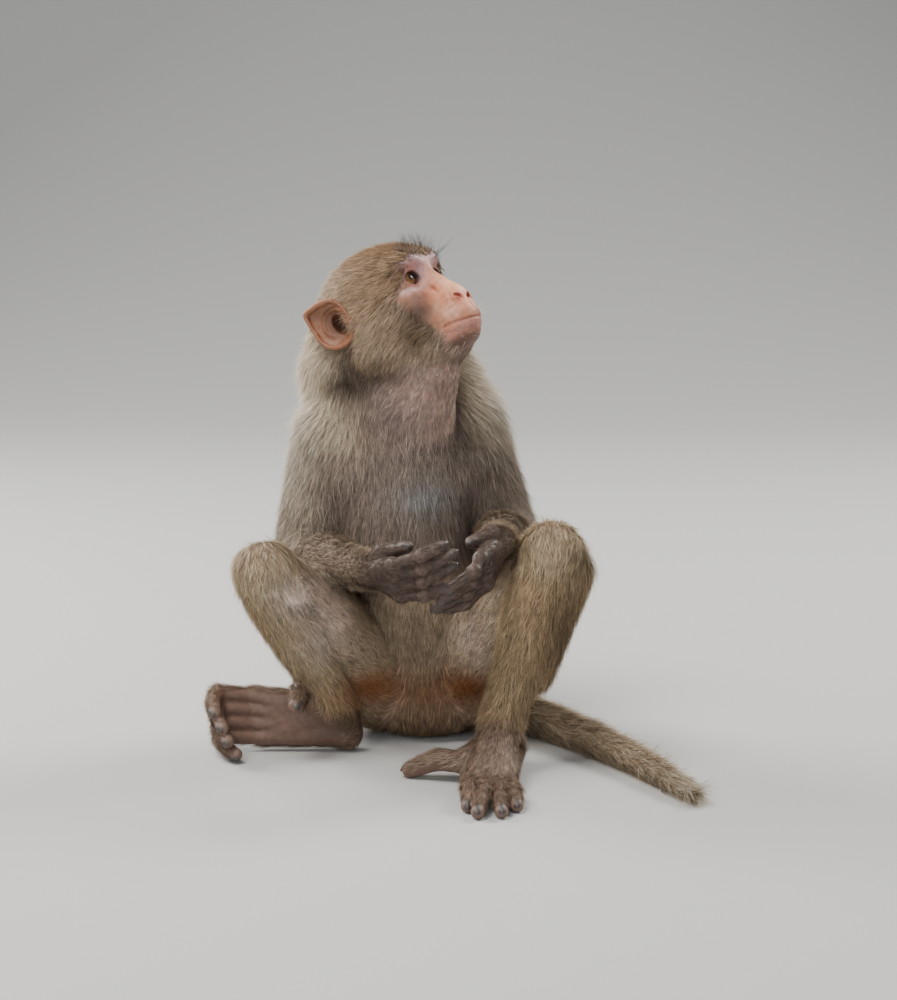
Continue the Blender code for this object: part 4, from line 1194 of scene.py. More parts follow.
@dataclass
class Coat:
    """Works out, anywhere on the skin, the region's fur, its lie, where skin is bare and every colour.

    A form counts up to margin from it, and regions pass into each other over about blend.
    """

    body: Body
    margin: float = 0.012
    blend: float = 0.0022

    def weigh(self, points: Array) -> tuple[Array, Array]:
        """Finds the region and the lie of the fur.

        Args:
            points: one point to a row.

        Returns:
            Each region's share at the points, and the way that the fur points there.
        """
        weights = np.zeros((len(points), len(Region)))
        lies = np.zeros_like(points)
        for form in self.body.forms:
            low, high = form.box()
            close = np.all((points > low - self.margin) & (points < high + self.margin), axis=1)
            if not close.any():
                continue
            pull = np.exp(-np.clip(form.distance(points[close]), -0.004, 0.05) / self.blend)
            weights[close, COLUMN[form.region]] += pull
            lies[close] += pull[:, None] * form.lie
        weights += 1e-9
        weights /= weights.sum(1, keepdims=True)
        for side in (1, -1):
            ear = Ear(side)
            x, y, z = ear.local(points).T
            reach = np.hypot(x, y) / ear.outline(np.mod(np.arctan2(y, x), math.tau))
            deep = 0.0055 * fade(-reach, -0.85, -0.55)
            share = fade(-reach, -1.3, -1.02) * fade(z + deep, -0.0115, -0.0085) * (np.abs(z) < 0.03)
            weights *= (1 - share)[:, None]
            weights[:, COLUMN[Region.EAR]] += share
            outwards = ear.front * -0.4 + ear.tall * 0.8
            lies = mix(lies, np.broadcast_to(outwards, lies.shape), share)
        return weights, unit(lies)

    def bare(self, points: Array, normals: Array, weights: Array) -> Array:
        """How bare the skin is, from 0 under full fur to 1.

        Args:
            points: one point to a row.
            normals: the way out of the skin at each.
            weights: each region's share there.
        """
        local = POSE.head_local(points)
        f, s, u = local[:, 0], np.abs(local[:, 1]), local[:, 2]
        edge = 0.0475 + 0.018 * fade(-u, 0.002, 0.034)
        edge += 0.011 * fade(u, 0.0, 0.02) * fade(s, 0.012, 0.024)
        edge += 0.006 * fade(u, 0.013, 0.026) * fade(s, 0.01, 0.021)
        edge += 0.0045 * np.exp(-(((u + 0.007) / 0.011) ** 2))
        face = fade(f, edge - 0.006, edge + 0.006)
        face *= (1 - fade(u, 0.0258, 0.0318)) * (1 - fade(-u, 0.041, 0.051))
        face *= (span(local) < HEAD_REACH) & (s < 0.04)
        found = np.maximum(face, 0.94 * weights[:, COLUMN[Region.EAR]])
        fruit, grip = vec(0.012, -0.104, 0.168), vec(-0.12, -0.088, 0.02)
        palm = (normals * unit(fruit - points)).sum(1)
        hand = weights[:, COLUMN[Region.HAND]]
        found = np.maximum(found, hand * fade(palm, -0.1, 0.35))
        sole = np.where(points[:, 0] < -0.02, (normals * unit(grip - points)).sum(1), -normals[:, 2])
        foot = weights[:, COLUMN[Region.FOOT]]
        found = np.maximum(found, foot * fade(sole, -0.15, 0.3))
        for side in ("left", "right"):
            for tips in (HANDS[side].tips, FEET[side].tips, THUMBS[side][1:], HALLUXES[side][2:]):
                for tip in tips:
                    found = np.maximum(found, fade(-span(points - tip), -0.01, -0.006))
        return found

    def fringe(self, points: Array, weights: Array, bare: Array) -> None:
        """Gives the rim of the face, where it isn't bare, the fur that grows next to it.

        Args:
            points: one point to a row.
            weights: each region's share there, which is changed in place.
            bare: how bare the skin is.
        """
        up = POSE.head_local(points)[:, 2]
        moved = weights[:, COLUMN[Region.FACE]] * (1 - bare)
        high, low = fade(up, 0.004, 0.02), fade(-up, 0.026, 0.036)
        weights[:, COLUMN[Region.FACE]] -= moved
        weights[:, COLUMN[Region.CROWN]] += moved * high
        weights[:, COLUMN[Region.THROAT]] += moved * low
        weights[:, COLUMN[Region.CHEEK]] += moved * (1 - high) * (1 - low)

    def table(self, what: str) -> Array:
        """One value or colour of every region's fur, in the regions' order."""
        return np.array([getattr(FURS[region], what) for region in Region], float)

    def skin_colour(self, points: Array, weights: Array, bare: Array) -> Array:
        """The skin's colour at each point.

        Args:
            points: one point to a row.
            weights: each region's share there.
            bare: how bare the skin is.
        """
        colour = weights @ self.table("skin")
        for mark in BODY_MARKS:
            colour = mix(colour, np.array(mark.skin), mark.share(points))
        local = POSE.head_local(points)
        local[:, 1] = np.abs(local[:, 1])
        head = span(local) < HEAD_REACH
        colour = mix(colour, np.array(FURS[Region.FACE].skin), bare * head * (local[:, 0] > 0.03))
        for centre, radii, tint, strength in FACE_MARKS:
            offset = (local - np.array(centre)) / np.array(radii)
            colour = mix(colour, np.array(tint), strength * np.exp(-(offset**2).sum(1)) * head)
        near = head & (local[:, 0] > 0.045)
        colour[near] = self.lid_rims_and_crease_shade(local[near], colour[near])
        return self.ear_shade_and_digit_colour(points, colour)

    @staticmethod
    def lid_rims_and_crease_shade(front: Array, colour: Array) -> Array:
        """Darkens the rims of the lids, the mouth line and the folds, at points in the head's axes: painted
        shade in the creases, and on the lids' rims their dark lash line with painted shade, heaviest along
        the upper lid.
        """
        edge = np.exp(-((Face.eye_opening(front) / 0.001) ** 2)) * (front[:, 0] > EYE.forward + 0.002)
        upper = fade(front[:, 2] - EYE.up, -0.003, 0.001)
        colour = mix(colour, vec(0.018, 0.012, 0.011), edge * (0.5 + 0.45 * upper))
        # painted shade in the mouth line
        mouth = Face.cord(front, Face.mouth_crease(), [0.0005] * 4 + [0.0003, 0.0001, 0.0])
        line = np.exp(-((np.maximum(mouth, 0) / 0.0006) ** 2))
        colour = mix(colour, vec(0.085, 0.028, 0.02), 0.9 * line)
        # painted shade in the folds
        for fold in Face.folds:
            crease = np.exp(-((np.maximum(Face.cord(front, fold, [0.0002] * 3), 0) / 0.001) ** 2))
            colour = mix(colour, vec(0.26, 0.125, 0.085), 0.42 * crease)
        return colour

    @staticmethod
    def ear_shade_and_digit_colour(points: Array, colour: Array) -> Array:
        """Darkens the hollow of each ear with painted shade, and lightens knuckles and the toes' pads."""
        for side in (1, -1):
            ear = Ear(side)
            x, y, z = ear.local(points).T
            # painted shade in the ear's hollow
            inside = np.exp(-(((x - 0.003) / 0.0085) ** 2) - ((y + 0.001) / 0.012) ** 2) * (np.abs(z) < 0.02)
            inside *= (z < 0.001) & (z > -0.0165)
            colour = mix(colour, vec(0.045, 0.018, 0.011), 0.92 * inside)
        for side in ("left", "right"):
            for number in range(4):
                knuckle = HANDS[side].joints(number)[1]
                near = np.exp(-((span(points - knuckle) / 0.006) ** 2))
                colour = mix(colour, vec(0.22, 0.13, 0.105), 0.42 * near)
                pad = FEET[side].joints(number)[3]
                near = np.exp(-((span(points - pad) / 0.007) ** 2))
                colour = mix(colour, vec(0.22, 0.155, 0.13), 0.5 * near)
        return colour

    def fur_colours(self, points: Array, weights: Array) -> tuple[Array, Array]:
        """The colour of the hairs' roots and of their tips.

        Args:
            points: where each hair shows, part of the way along it.
            weights: each region's share at its root.
        """
        root, tip = weights @ self.table("root"), weights @ self.table("tip")
        for mark in BODY_MARKS:
            share = mark.share(points)
            tip = mix(tip, np.array(mark.fur), share)
            # the roots under a mark are darkened by painted shade deep in the coat
            root = mix(root, np.array(mark.fur) * 0.55, share * 0.7)
        local = POSE.head_local(points)
        crown = np.exp(-(((local - vec(0.045, 0, 0.055)) / vec(0.03, 0.03, 0.022)) ** 2).sum(1))
        tip = mix(tip, vec(0.3, 0.165, 0.075), crown * 0.65)
        return root, tip


@dataclass(frozen=True)
class TuftSize:
    """How the coat is cut up, and how its hairs differ.

    Args:
        tufts: tufts in the whole coat.
        hairs: ribbons in one tuft.
        spread: how far from its middle a tuft's ribbons stand.
        gather: share by which their tips draw together.
        patch: breadth of a tuft's patch on the unwrap.
        most: ribbons in one coat piece at most.
        shorten: share of its length that a hair loses where skin is bare.
        shortest, longest: limits of a hair's length.
        droop: share of its lift that a hair loses by its tip.
        sunk: how far under the skin a hair starts.
        lowest: how near the floor a hair comes.
        rare: share of the hairs that are pale, and as many are dark.
    """

    tufts: int = 86_000
    hairs: int = 5
    spread: float = 0.0017
    gather: float = 0.4
    patch: float = 0.003
    most: int = 65_000
    shorten: float = 0.7
    shortest: float = 0.0012
    longest: float = 0.034
    droop: float = 0.42
    sunk: float = 0.0004
    lowest: float = 0.0005
    rare: float = 0.2


@dataclass
class Fleece:
    """The coat's ribbons: tapered, curved strips of three triangles each, in tufts."""

    coat: Coat
    skin: Object
    size: TuftSize = TuftSize()

    steps = (0.0, 0.52, 1.0)
    widths = (1.0, 0.8)
    tints = (0.0, 0.0, 0.6, 0.6, 1.0)

    def __post_init__(self) -> None:
        """Sets the dice for every draw of the coat."""
        self.dice = np.random.default_rng(11)

    def skin_arrays(self) -> None:
        """Reads the skin's points, normals and triangles, and weighs the coat over them."""
        mesh = self.skin.data
        count = len(mesh.vertices)
        points, normals = np.empty(count * 3), np.empty(count * 3)
        mesh.vertices.foreach_get("co", points)
        mesh.vertex_normals.foreach_get("vector", normals)
        self.points, self.normals = points.reshape(-1, 3), normals.reshape(-1, 3)
        mesh.calc_loop_triangles()
        triangles = np.empty(len(mesh.loop_triangles) * 3, np.int32)
        mesh.loop_triangles.foreach_get("vertices", triangles)
        self.triangles = triangles.reshape(-1, 3)
        self.weights, self.lies = self.coat.weigh(self.points)
        self.bareness = self.coat.bare(self.points, self.normals, self.weights)
        self.coat.fringe(self.points, self.weights, self.bareness)

    def scatter(self) -> None:
        """Picks where the tufts stand: evenly over the skin, thinned where it is bare."""
        density = (self.weights @ self.coat.table("dense")) * (1 - self.bareness) ** 1.5
        density *= fade(self.points[:, 2], 0.0006, 0.0022)
        for mark in BODY_MARKS:
            if mark.thin:
                density *= 1 - mark.thin * mark.share(self.points)
        a, b, c = (self.points[self.triangles[:, k]] for k in range(3))
        area = 0.5 * span(np.cross(b - a, c - a))
        finer = 1.0 + 0.9 * (span(POSE.head_local(self.points)) < 0.085)
        wanted = area * (density * finer)[self.triangles].mean(1)
        total = self.size.tufts
        heap = np.cumsum(wanted) / wanted.sum()
        place = np.searchsorted(heap, (np.arange(total) + self.dice.random(total)) / total)
        place = np.minimum(place, len(wanted) - 1)
        a, b = self.dice.random((2, total))
        fold = a + b > 1
        a[fold], b[fold] = 1 - a[fold], 1 - b[fold]
        share = np.stack([1 - a - b, a, b], 1)
        chosen = self.triangles[place]

        def at(values: Array) -> Array:
            """Values at the skin's points, as they are where the tufts stand."""
            return (values[chosen] * share[..., None]).sum(1)

        self.root, self.normal = at(self.points), unit(at(self.normals))
        self.weight = at(self.weights)
        lie = at(self.lies)
        self.lie = unit(lie - self.normal * (lie * self.normal).sum(1, keepdims=True))
        self.bare = (self.bareness[chosen] * share).sum(1)

    def hug(self, lengths: Array) -> list[tuple[Array, Array]]:
        """Follows the skin as it curves away under the tufts.

        Args:
            lengths: each tuft's length along the skin.

        Returns:
            For the middle and for the tip: how far the skin lies from a straight tuft, and its normal there.
        """
        mesh = self.skin.data
        corners = np.empty(len(mesh.polygons) * 4, np.int32)
        if len(mesh.loops) == len(corners):
            mesh.loops.foreach_get("vertex_index", corners)
            faces = corners.reshape(-1, 4).tolist()
        else:
            faces = self.triangles.tolist()
        tree = BVHTree.FromPolygons(self.points.tolist(), faces)
        found = []
        for step in self.steps[1:]:
            wanted = self.root + self.lie * (lengths * step)[:, None]
            shift, normals = np.zeros_like(wanted), self.normal.copy()
            for number, point in enumerate(wanted.tolist()):
                place, normal, _, gap = tree.find_nearest(point)
                if gap < lengths[number] * 0.6:
                    shift[number] = (place[0] - point[0], place[1] - point[1], place[2] - point[2])
                    normals[number] = normal
            turned = (normals * self.normal).sum(1)
            share = fade(turned, -0.2, 0.4)[:, None]
            found.append((shift * share, unit(self.normal * (1 - share) + normals * share)))
        return found

    def strands(self) -> dict[str, Array]:
        """Grows the ribbons, tuft by tuft.

        Returns:
            Every ribbon's points, the way that they face and their colours.
        """
        size, dice, coat = self.size, self.dice, self.coat
        hairs = size.hairs
        tufts = len(self.root)
        count = tufts * hairs

        def each(values: Array) -> Array:
            """Values of the tufts, repeated for each of their ribbons."""
            return np.repeat(values, hairs, axis=0)

        root, normal, lie, weight = each(self.root), each(self.normal), each(self.lie), each(self.weight)
        across = np.cross(normal, lie)
        own = each(dice.normal(0, 1, (tufts, 4)))
        mine = dice.normal(0, 1, (count, 5))
        short = 1 - size.shorten * self.bare
        length = weight @ coat.table("length") * each(short) * (1 + 0.14 * own[:, 0] + 0.12 * mine[:, 0])
        length = np.clip(length, size.shortest, size.longest)
        spread = size.spread * np.minimum(1.0, length / 0.01)
        angle = math.tau * dice.random(count)
        offset = np.cos(angle)[:, None] * across + np.sin(angle)[:, None] * lie
        offset = offset * (spread * np.sqrt(dice.random(count)))[:, None]
        turn = 0.16 * own[:, 1] + 0.1 * mine[:, 1]
        heading = lie * np.cos(turn)[:, None] + across * np.sin(turn)[:, None]
        lift = np.radians(weight @ coat.table("lift")) * (1 + 0.16 * own[:, 2] + 0.16 * mine[:, 2])
        lift = np.clip(lift, math.radians(6), math.radians(70))
        width = weight @ coat.table("width") * 1e-3 * (0.75 + 0.5 * dice.random(count))
        bend = 0.12 * mine[:, 3]
        side = unit(np.cross(heading, normal) + normal * (0.22 * mine[:, 4])[:, None])
        along = self.weight @ coat.table("length") * np.cos(np.radians(self.weight @ coat.table("lift")))
        curve = [(np.zeros_like(self.root), self.normal), *self.hug(along * short)]
        rows, facings = [], []
        for number, (step, (shift, upright)) in enumerate(zip(self.steps, curve)):
            slope = lift * (1 - size.droop * step)
            rise = length * step * np.sin(slope) - size.sunk * (1 - step)
            forth = length * step * np.cos(slope)
            upright = each(upright)
            middle = root + offset * (1 - size.gather * step) + heading * forth[:, None]
            middle = middle + each(shift) + upright * rise[:, None]
            middle = middle + across * (length * bend * step * step)[:, None]
            middle[:, 2] = np.maximum(middle[:, 2], size.lowest)
            facing = upright * 0.8 - heading * (0.45 * np.sin(slope))[:, None] + 0.16 * side * mine[:, [2]]
            half = side * (0.5 * width * self.widths[number])[:, None] if step < 1 else None
            made = [middle] if half is None else [middle - half, middle + half]
            rows += made
            facings += [unit(facing)] * len(made)
        seen = root + heading * (0.6 * length * np.cos(lift))[:, None]
        root_colour, tip_colour = coat.fur_colours(seen, weight)
        tone = np.clip(1 + 0.14 * own[:, 3] + 0.2 * mine[:, 0], 0.5, 1.6)[:, None]
        pale = 0.65 * (dice.random(count) < size.rare)
        tip_colour = mix(tip_colour, np.minimum(tip_colour * 1.9 + 0.03, 0.92), pale)
        dark = dice.random(count) < size.rare
        tip_colour = np.where(dark[:, None], tip_colour * 0.52, tip_colour)
        shades = [mix(root_colour, tip_colour, np.full(count, share)) * tone for share in self.tints]
        return {
            "points": np.stack(rows, 1),
            "facings": np.stack(facings, 1),
            "colours": np.clip(np.stack(shades, 1), 0, 1),
        }

    def stand_on(self) -> tuple[list[tuple[str, Region]], Array]:
        """Finds the body part that each tuft stands on.

        Returns:
            The parts, each a group's name and a region, and the number of each tuft's own part.
        """
        keys: list[tuple[str, Region]] = []
        best, owner = np.full(len(self.root), np.inf), np.full(len(self.root), -1)
        for group in self.coat.body.groups:
            for form in group.forms:
                key = (group.name, form.region)
                if key not in keys:
                    keys.append(key)
                gap = form.distance(self.root)
                closer = gap < best
                best[closer] = gap[closer]
                owner[closer] = keys.index(key)
        return keys, owner

    def charts(self, keys: list[tuple[str, Region]], owner: Array) -> Array:
        """Lays the tufts out on the unwrap: one cylindrical chart to each body part, in rows by size.

        Args:
            keys: the body parts.
            owner: the number of each tuft's own part.

        Returns:
            Each tuft's place.
        """
        counts = np.bincount(owner, minlength=len(keys))
        order = [int(k) for k in np.argsort(-counts) if counts[k]]
        rows: list[list[int]] = [[] for _ in range(5)]
        for key in order:
            min(rows, key=lambda row: counts[row].sum() if row else 0).append(key)
        total, low, place = counts.sum(), 0.0, np.zeros((len(self.root), 2))
        for row in rows:
            height, left = counts[row].sum() / total, 0.0
            for key in row:
                breadth = counts[key] / counts[row].sum()
                mine = owner == key
                place[mine] = self.unroll(keys[key], self.root[mine]) * (breadth * 0.94, height * 0.94)
                place[mine] += (left + breadth * 0.03, low + height * 0.03)
                left += breadth
            low += height
        return place

    def unroll(self, key: tuple[str, Region], points: Array) -> Array:
        """Points round and along the axis of one body part, each evened out to 0 to 1."""
        forms = [f for g in self.coat.body.groups if g.name == key[0] for f in g.forms if f.region is key[1]]
        axis = forms[0].lie if forms[0].axes is not None else unit(forms[-1].end - forms[0].start + 1e-9)
        middle = points.mean(0)
        across = unit(np.cross(axis, vec(0.3, 0.9, 0.2)))
        other = np.cross(axis, across)
        offset = points - middle
        round_it = np.arctan2(offset @ other, offset @ across)
        along = offset @ axis
        evened = []
        for values in (round_it, along):
            ranks = np.empty(len(values))
            ranks[np.argsort(values, kind="stable")] = np.arange(len(values))
            spread = (values - values.min()) / max(np.ptp(values), 1e-9)
            evened.append(0.5 * spread + 0.5 * ranks / max(len(values) - 1, 1))
        return np.stack(evened, 1)

    def build(self) -> list[Object]:
        """The coat as joined pieces, none with more ribbons than allowed."""
        self.scatter()
        made, hairs = self.strands(), self.size.hairs
        keys, owner = self.stand_on()
        places = self.charts(keys, owner)
        names = np.array([self.piece_name(group) for group, _ in keys])[owner]
        pieces = []
        for name in sorted(set(names)):
            tufts = np.flatnonzero(names == name)
            parts = -(-len(tufts) * hairs // self.size.most)
            for number, some in enumerate(np.array_split(tufts, parts)):
                ribbons = (some[:, None] * hairs + np.arange(hairs)).ravel()
                title = f"coat_{name}" if parts == 1 else f"coat_{name}_{number + 1}"
                pieces.append(self.piece(title, made, ribbons, np.repeat(places[some], hairs, axis=0)))
        return pieces

    @staticmethod
    def piece_name(group: str) -> str:
        """The name of the coat piece over this group of forms: a hand's fur goes with its arm's."""
        part, _, side = group.partition("_")
        part = {"hand": "arm", "foot": "leg"}.get(part, part)
        return f"{part}_{side}" if side else part

    def piece(self, name: str, made: dict[str, Array], ribbons: Array, places: Array) -> Object:
        """Makes one joined mesh with its colours and its patches.

        Args:
            name: the piece's name.
            made: every ribbon's points, facings and colours.
            ribbons: the numbers of the ribbons in this piece.
            places: where the patch of each one lies on the unwrap.

        Returns:
            The piece.
        """
        points = made["points"][ribbons].reshape(-1, 3)
        colours = made["colours"][ribbons].reshape(-1, 3)
        count = len(ribbons)
        pattern = np.array([0, 1, 3, 2, 2, 3, 4])
        loops = (np.arange(count)[:, None] * 5 + pattern).ravel()
        starts = (np.arange(count)[:, None] * 7 + np.array([0, 4])).ravel()
        mesh = bpy.data.meshes.new(name)
        mesh.vertices.add(len(points))
        mesh.vertices.foreach_set("co", points.astype(np.float32).ravel())
        mesh.loops.add(len(loops))
        mesh.loops.foreach_set("vertex_index", loops.astype(np.int32))
        mesh.polygons.add(len(starts))
        mesh.polygons.foreach_set("loop_start", starts.astype(np.int32))
        mesh.update(calc_edges=True)
        paint_points(mesh, "Coat", colours)
        facings = mesh.attributes.new("custom_normal", "FLOAT_VECTOR", "POINT")
        facings.data.foreach_set("vector", made["facings"][ribbons].astype(np.float32).ravel())
        patch = np.array([[0, 0], [1, 0], [0.1, 0.5], [0.9, 0.5], [0.5, 1]]) - 0.5
        strip = (np.arange(count) % self.size.hairs)[:, None, None] * np.array([1.0, 0.0]) / self.size.hairs
        corners = places[:, None, :] + (patch * (0.9 / self.size.hairs, 1.0) + strip) * self.size.patch
        corners = np.clip(corners.reshape(-1, 2)[loops], 0.0, 1.0)
        layer = mesh.uv_layers.new(name="OFBake")
        layer.data.foreach_set("uv", corners.astype(np.float32).ravel())
        mesh.shade_smooth()
        log.info("%s: %d ribbons, %d triangles", name, count, count * 3)
        return in_scene(name, mesh)


def paint_points(mesh: Mesh, name: str, colours: Array) -> None:
    """Stores one colour to each point.

    Args:
        mesh: the mesh to paint.
        name: the name that the colours go under.
        colours: one colour to a row.
    """
    layer = mesh.color_attributes.new(name, "FLOAT_COLOR", "POINT")
    full = np.ones((len(mesh.vertices), 4), np.float32)
    full[:, :3] = colours
    layer.data.foreach_set("color", full.ravel())


# ---------------------------------------------------------------- nails and long hairs
@dataclass
class Nails:
    """Dark nails on every digit of one hand or foot, as one piece."""

    name: str
    tips: list[tuple[Array, Array, Array, float]]
    around: int = 12
    rings: int = 7

    @staticmethod
    def tips_of(digits: Digits, thumb: list[Array], middle: Array | None, sizes: tuple) -> list[tuple]:
        """Finds where the nails of one hand or foot sit.

        Args:
            digits: the four long digits.
            thumb: the points of the thumb or great toe.
            middle: what the digits curl round, or None where they lie flat.
            sizes: radius of the long digits' tips and of the thumb's.

        Returns:
            Each digit's tip, the way it points, the way its nail faces and its radius.
        """
        ends = [(digits.joints(number)[2], digits.tips[number], sizes[0]) for number in range(4)]
        found = []
        for before, tip, radius in (*ends, (thumb[-2], thumb[-1], sizes[1])):
            along = unit(tip - before)
            up = vec(0, 0, 1) if middle is None else tip - middle
            found.append((tip, along, unit(up - along * (up @ along)), radius))
        return found

    def build(self) -> Object:
        """The nails joined into one object."""
        points, faces = [], []
        for nail in self.tips:
            faces += ring_faces(len(points), self.rings, self.around)
            points += self.nail(*nail)
        mesh = bpy.data.meshes.new(self.name)
        mesh.from_pydata(points, [], faces)
        weld(mesh, turn_out=True)
        mesh.shade_smooth()
        log.info("%s: %d faces", self.name, len(mesh.polygons))
        return in_scene(self.name, mesh)

    def nail(self, tip: Array, along: Array, up: Array, radius: float) -> list[tuple[float, ...]]:
        """The points of one nail, a thin shell arched across the digit and facing up."""
        across = np.cross(along, up)
        middle = tip + along * radius * 0.42 + up * radius * 0.66
        reach = unit(along * 0.9 - up * 0.42)
        out = np.cross(across, reach)
        out = out if out @ up > 0 else -out
        points = []
        for ring in range(self.rings):
            polar = math.pi * ring / (self.rings - 1)
            for step in range(self.around):
                turn = math.tau * step / self.around
                x, y = math.cos(polar), math.sin(polar) * math.cos(turn)
                z = math.sin(polar) * math.sin(turn) - 0.9 * y * y
                place = middle + radius * (reach * x * 0.95 + across * y * 0.62 + out * z * 0.3)
                points.append(tuple(place))
        return points


@dataclass(frozen=True)
class Tress:
    """A sparse bunch of long single hairs, in the head's axes and alike on both sides.

    The roots spread by reach round middle, and the hairs point along way, straying from it by stray; length
    is their mean, and count how many there are on each side.
    """

    middle: Triple
    reach: Triple
    way: Triple
    stray: float
    length: float
    count: int


BROWS = (
    Tress((0.0605, 0.009, 0.0322), (0.0022, 0.0075, 0.001), (0.24, 0.08, 1.0), 0.2, 0.015, 90),
    Tress((0.064, 0.011, 0.03), (0.001, 0.006, 0.002), (1.0, 0.2, 0.2), 0.24, 0.019, 22),
    Tress((0.0575, 0.015, 0.024), (0.001, 0.005, 0.001), (0.85, 0.2, 0.45), 0.2, 0.005, 26),
)
WHISKERS = (
    Tress((0.08, 0.008, -0.025), (0.002, 0.007, 0.003), (0.85, 0.55, -0.15), 0.3, 0.006, 40),
    Tress((0.076, 0.007, -0.04), (0.002, 0.007, 0.003), (0.75, 0.35, -0.6), 0.25, 0.0045, 16),
)


@dataclass
class LongHairs:
    """Single long hairs: three-sided spikes, thick at the root, that bend a little and stand on the skin."""

    name: str
    tresses: tuple[Tress, ...]
    thick: float
    body: Body
    steps: int = 5

    def build(self) -> Object:
        """The hairs joined into one object."""
        dice = np.random.default_rng(5)
        points, faces = [], []
        for tress in self.tresses:
            for side in (1, -1):
                mirror = vec(1, side, 1)
                for _ in range(tress.count):
                    stray = dice.normal(0, 1, 3).clip(-1.6, 1.6)
                    local = np.array(tress.middle) + np.array(tress.reach) * stray
                    way = unit(np.array(tress.way) + dice.normal(0, tress.stray, 3)) * mirror @ POSE.axes
                    root = self.sink(POSE.in_head(*(local * mirror)), way)
                    self.add(points, faces, (root, way, tress.length * float(dice.uniform(0.55, 1.3))), dice)
        mesh = bpy.data.meshes.new(self.name)
        mesh.from_pydata([tuple(point) for point in points], [], faces)
        mesh.shade_smooth()
        log.info("%s: %d faces", self.name, len(mesh.polygons))
        return in_scene(self.name, mesh)

    def sink(self, start: Array, way: Array) -> Array:
        """The point just under the skin along the hair's own line."""
        places = start + way * np.linspace(-0.012, 0.012, 49)[:, None]
        field = self.body.distance(places)
        inside = np.flatnonzero(field < 0)
        return places[inside[-1]] if len(inside) else start

    def add(
        self, points: list, faces: list, hair: tuple[Array, Array, float], dice: np.random.Generator
    ) -> None:
        """Adds one hair, given by its root, the way it points and its length, to the points and faces."""
        root, way, length = hair
        side = unit(np.cross(way, dice.normal(0, 1, 3)))
        other, base, steps = np.cross(way, side), len(points), self.steps
        bend = dice.normal(0, 0.1)
        for step in range(steps):
            share = step / steps
            middle = root + way * length * share + side * length * bend * share**2
            half = self.thick * (1 - 0.75 * share)
            for turn in (0.0, math.tau / 3, 2 * math.tau / 3):
                points.append(middle + (side * math.cos(turn) + other * math.sin(turn)) * half)
        points.append(root + way * length + side * length * bend)
        for step in range(steps - 1):
            for k in range(3):
                here, after = base + step * 3, (k + 1) % 3
                faces.append((here + k, here + after, here + 3 + after, here + 3 + k))
        last = base + (steps - 1) * 3
        faces += [(last, last + 1, base + steps * 3), (last + 1, last + 2, base + steps * 3)]
        faces.append((last + 2, last, base + steps * 3))


# ---------------------------------------------------------------- finishes
def fill(node: Node, **values: float | tuple) -> Node:
    """Sets inputs of a node, whose names are written with _ for a space, and gives it back."""
    for name, value in values.items():
        node.inputs[name.replace("_", " ")].default_value = value
    return node


def node(tree: Tree, kind: str, **values: float | tuple) -> Node:
    """A new shader node of this kind, with these inputs."""
    return fill(tree.nodes.new("ShaderNode" + kind), **values)


def wire(tree: Tree, *links: tuple[Node, str, Node, str | int]) -> None:
    """Links nodes, each time from a node's output to another node's input."""
    for source, output, target, entry in links:
        tree.links.new(source.outputs[output], target.inputs[entry])


@dataclass(frozen=True)
class Speckle:
    """A fine variation of a colour between two shares of it, taken from one shared shader group."""

    scale: float
    darkest: float
    lightest: float

    @staticmethod
    def group() -> Tree:
        """The shared group, made once."""
        found = bpy.data.node_groups.get("speckle")
        if found:
            return found
        group = bpy.data.node_groups.new("speckle", "ShaderNodeTree")
        for name, way, kind in (
            ("Colour", "INPUT", "NodeSocketColor"),
            ("Scale", "INPUT", "NodeSocketFloat"),
            ("Darkest", "INPUT", "NodeSocketFloat"),
            ("Lightest", "INPUT", "NodeSocketFloat"),
            ("Colour", "OUTPUT", "NodeSocketColor"),
        ):
            group.interface.new_socket(name, in_out=way, socket_type=kind)
        enter, leave = group.nodes.new("NodeGroupInput"), group.nodes.new("NodeGroupOutput")
        place = node(group, "TexCoord")
        noise = node(group, "TexNoise", Detail=4.0)
        spread = node(group, "MapRange", From_Min=0.3, From_Max=0.7)
        scale = node(group, "VectorMath")
        scale.operation = "SCALE"
        wire(
            group,
            (place, "Object", noise, "Vector"),
            (enter, "Scale", noise, "Scale"),
            (noise, "Fac", spread, "Value"),
            (enter, "Darkest", spread, "To Min"),
            (enter, "Lightest", spread, "To Max"),
            (enter, "Colour", scale, 0),
            (spread, "Result", scale, "Scale"),
            (scale, "Vector", leave, "Colour"),
        )
        return group

    def add(self, tree: Tree) -> Node:
        """Places the group in a material with these values."""
        made = node(tree, "Group")
        made.node_tree = self.group()
        return fill(made, Scale=self.scale, Darkest=self.darkest, Lightest=self.lightest)


